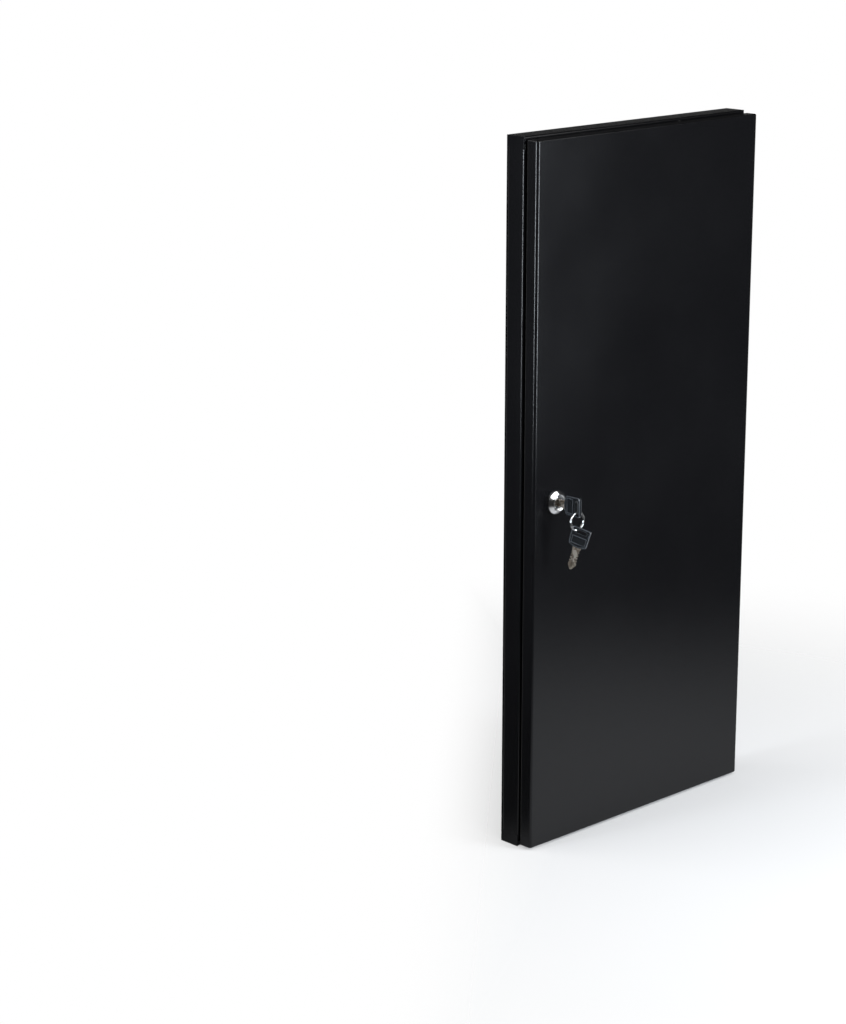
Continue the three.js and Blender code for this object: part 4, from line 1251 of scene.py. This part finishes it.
def columns(along, across, thick, origin):
    """The matrix that lays a key's drawing along three directions from an origin."""
    matrix = Matrix((along, across, thick)).transposed().to_4x4()
    return Matrix.Translation(origin) @ matrix


def lock_key_place():
    origin = LOCK + Vector((0, -KEY_OUT, 0))
    return columns(Vector((0, 1, 0)), Vector((0, 0, 1)), Vector((1, 0, 0)), origin)


def spare_key_place():
    thick = Vector((sin(SPARE_AZIMUTH), -cos(SPARE_AZIMUTH), 0))
    across = Vector((cos(SPARE_AZIMUTH), sin(SPARE_AZIMUTH), 0)) * cos(SPARE_TILT)
    across.z = -sin(SPARE_TILT)
    along = across.cross(thick)
    wire = along * (SPARE_GAP + RING_WIRE / 2 - BOW_LENGTH + SLOT_FROM_END) + across * SPARE_ACROSS
    hang = RING_MIDDLE - Vector((0, 0, RING_RADIUS))
    return columns(along, across, thick, hang - wire)


for prefix, place in (("", lock_key_place()), ("spare_", spare_key_place())):
    for part, shape, ease in (("blade", key_blade, 0.12), ("bow", key_bow, 0.14)):
        bm = shape()
        bm.transform(place)
        piece = finished(bm, f"{prefix}key_{part}_cast", f"{prefix}key_{part}", edge=ease)
        print(f"{piece.name} has {len(piece.data.polygons)} faces")

# %% [markdown]
# ## The split ring
# A key ring is two flat turns of springy wire, joined where the wire steps from one to the other.
# A rounded section is spun nearly once round, then round the last few degrees while it moves
# sideways by a wire's width, then nearly once round again.

# %% Split ring
RING_HALF = (RING_HIGH.y - RING_LOW.y) / 2
STEP_ANGLE = 22
RING_START = 115


def split_ring():
    bm = bmesh.new()
    wire = RING_HALF - 0.03
    outline = [(-RING_WIRE / 2, -wire / 2), (RING_WIRE / 2, -wire / 2), (RING_WIRE / 2, wire / 2), (-RING_WIRE / 2, wire / 2)]
    section = bm.faces.new([bm.verts.new((RING_RADIUS + r, y - RING_HALF / 2, 0)) for r, y in outline])
    bmesh.ops.bevel(
        bm, geom=section.verts[:], offset=0.25, segments=3, profile=0.5, affect="VERTICES", material=-1
    )
    end = list(bm.faces)[0]
    geom = [end, *end.edges, *end.verts]
    for angle, shift, steps in ((360 - STEP_ANGLE, 0, 60), (STEP_ANGLE, RING_HALF, 8), (358 - STEP_ANGLE, 0, 60)):
        turn = bmesh.ops.spin(
            bm, geom=geom, axis=(0, 1, 0), angle=radians(angle), steps=steps, dvec=(0, shift / steps, 0)
        )
        geom = turn["geom_last"]
    bmesh.ops.recalc_face_normals(bm, faces=bm.faces)
    bm.transform(Matrix.Translation(RING_MIDDLE) @ Matrix.Rotation(radians(RING_START), 4, "Y"))
    return finished(bm, "split_ring", "key_ring")


split_ring()
print(f"split ring {RING_RADIUS * 2:.1f} mm across its wire")

# %% [markdown]
# ## Floor, room and lamps
# The locker stands on a plain pale floor that fades into a white room. The room is white to the
# camera and in reflections, and dimmer as a source of light, so the black coat keeps its depth.
# Three soft lamps do the rest: one above, one at the front on the right, which the door mirrors
# softly at its top, and one at the back on the left for the bright lines along the folds.

# %% Stage
FLOOR_RADIUS = 7.0
FLOOR_FADE = (0.2, 0.95)
FLOOR_LEFT = Vector((-0.686, 0.728, 0))
FLOOR_EDGE = (0.0, 0.2)
FLOOR_COLOUR = (0.76, 0.76, 0.76, 1)
ROOM_LIGHT = 0.25
ROOM_REFLECTED = 0.02
BACKDROP = Vector((0.686, 0.728, 0))
BACKDROP_EDGE = (0.15, 0.65)
BACKDROP_TOP = (-0.06, 0.1)
SKY_COLOUR = (0.86, 0.92, 1.0)


def pale_floor():
    bm = bmesh.new()
    height = Matrix.Translation((0, 0, CAD_BOX[0][2]))
    bmesh.ops.create_circle(bm, cap_ends=True, radius=FLOOR_RADIUS, segments=64, matrix=height)
    mesh = bpy.data.meshes.new("floor")
    bm.to_mesh(mesh)
    bm.free()
    material = bpy.data.materials.new("pale_floor")
    material.use_nodes = True
    tree = material.node_tree
    shader = tree.nodes["Principled BSDF"]
    shader.inputs["Base Color"].default_value = FLOOR_COLOUR
    shader.inputs["Roughness"].default_value = 0.9
    shader.inputs["Specular IOR Level"].default_value = 0.1
    place = Signal(tree).node("ShaderNodeTexCoord", output="Object")
    distance = place.node("ShaderNodeVectorMath", {"operation": "LENGTH"}, {0: place}, output="Value")
    beside = place.node(
        "ShaderNodeVectorMath", {"operation": "DOT_PRODUCT"}, {0: place, 1: FLOOR_LEFT}, output="Value"
    )
    gone = place.math("MAXIMUM", eased(distance, *FLOOR_FADE), eased(beside, *FLOOR_EDGE))
    clear = place.node("ShaderNodeBsdfTransparent")
    lit = Signal(tree, shader.outputs["BSDF"])
    faded = place.node("ShaderNodeMixShader", {}, {0: gone, 1: lit, 2: clear})
    tree.links.new(faded.socket, tree.nodes["Material Output"].inputs["Surface"])
    mesh.materials.append(material)
    floor = bpy.data.objects.new("floor", mesh)
    scene.collection.objects.link(floor)


def white_room():
    world = bpy.data.worlds.new("white_room")
    scene.world = world
    world.use_nodes = True
    tree = world.node_tree
    background = tree.nodes["Background"]
    background.inputs["Color"].default_value = (1, 1, 1, 1)
    rays = tree.nodes.new("ShaderNodeLightPath")
    seen = Signal(tree, rays.outputs["Is Camera Ray"])
    glossy = Signal(tree, rays.outputs["Is Glossy Ray"])
    mirrored = glossy.math("MAXIMUM", glossy, Signal(tree, rays.outputs["Is Transmission Ray"]))
    ray = Signal(tree).node("ShaderNodeTexCoord", output="Generated")
    facing = ray.node("ShaderNodeVectorMath", {"operation": "DOT_PRODUCT"}, {0: ray, 1: BACKDROP}, output="Value")
    height = ray.node("ShaderNodeSeparateXYZ", {}, {0: ray}, output="Z")
    backdrop = eased(facing, *BACKDROP_EDGE) * (1 - eased(height, *BACKDROP_TOP))
    shown = ROOM_REFLECTED + backdrop * (1 - ROOM_REFLECTED)
    strength = seen + mirrored * shown + (1 - seen - mirrored) * ROOM_LIGHT
    tree.links.new(strength.socket, background.inputs["Strength"])


def soft_lamp(name, place, aim, width, height, power, spread=180, colour=(1, 1, 1)):
    data = bpy.data.lights.new(name, "AREA")
    data.shape = "RECTANGLE"
    data.size = width
    data.size_y = height
    data.energy = power
    data.spread = radians(spread)
    data.color = colour
    lamp = bpy.data.objects.new(name, data)
    lamp.location = place
    lamp.rotation_euler = (Vector(aim) - Vector(place)).to_track_quat("-Z", "Y").to_euler()
    scene.collection.objects.link(lamp)


pale_floor()
white_room()
soft_lamp("lamp_above", (0.10, -1.25, 1.15), (-0.1, 0, 0), 2.2, 1.0, 25)
soft_lamp("lamp_front", (0.42, -1.30, 0.17), (-0.16, 0, 0.22), 0.40, 0.76, 21.5, colour=SKY_COLOUR)
soft_lamp("lamp_left", (-1.521, 0.300, 0.24), (-0.16, -0.03, 0.24), 0.32, 0.8, 2.2, 50, SKY_COLOUR)
soft_lamp("lamp_high", (-1.08, 0.50, 1.06), (-0.13, -0.05, 0), 1.5, 0.8, 9)
print("floor, room and three lamps made")
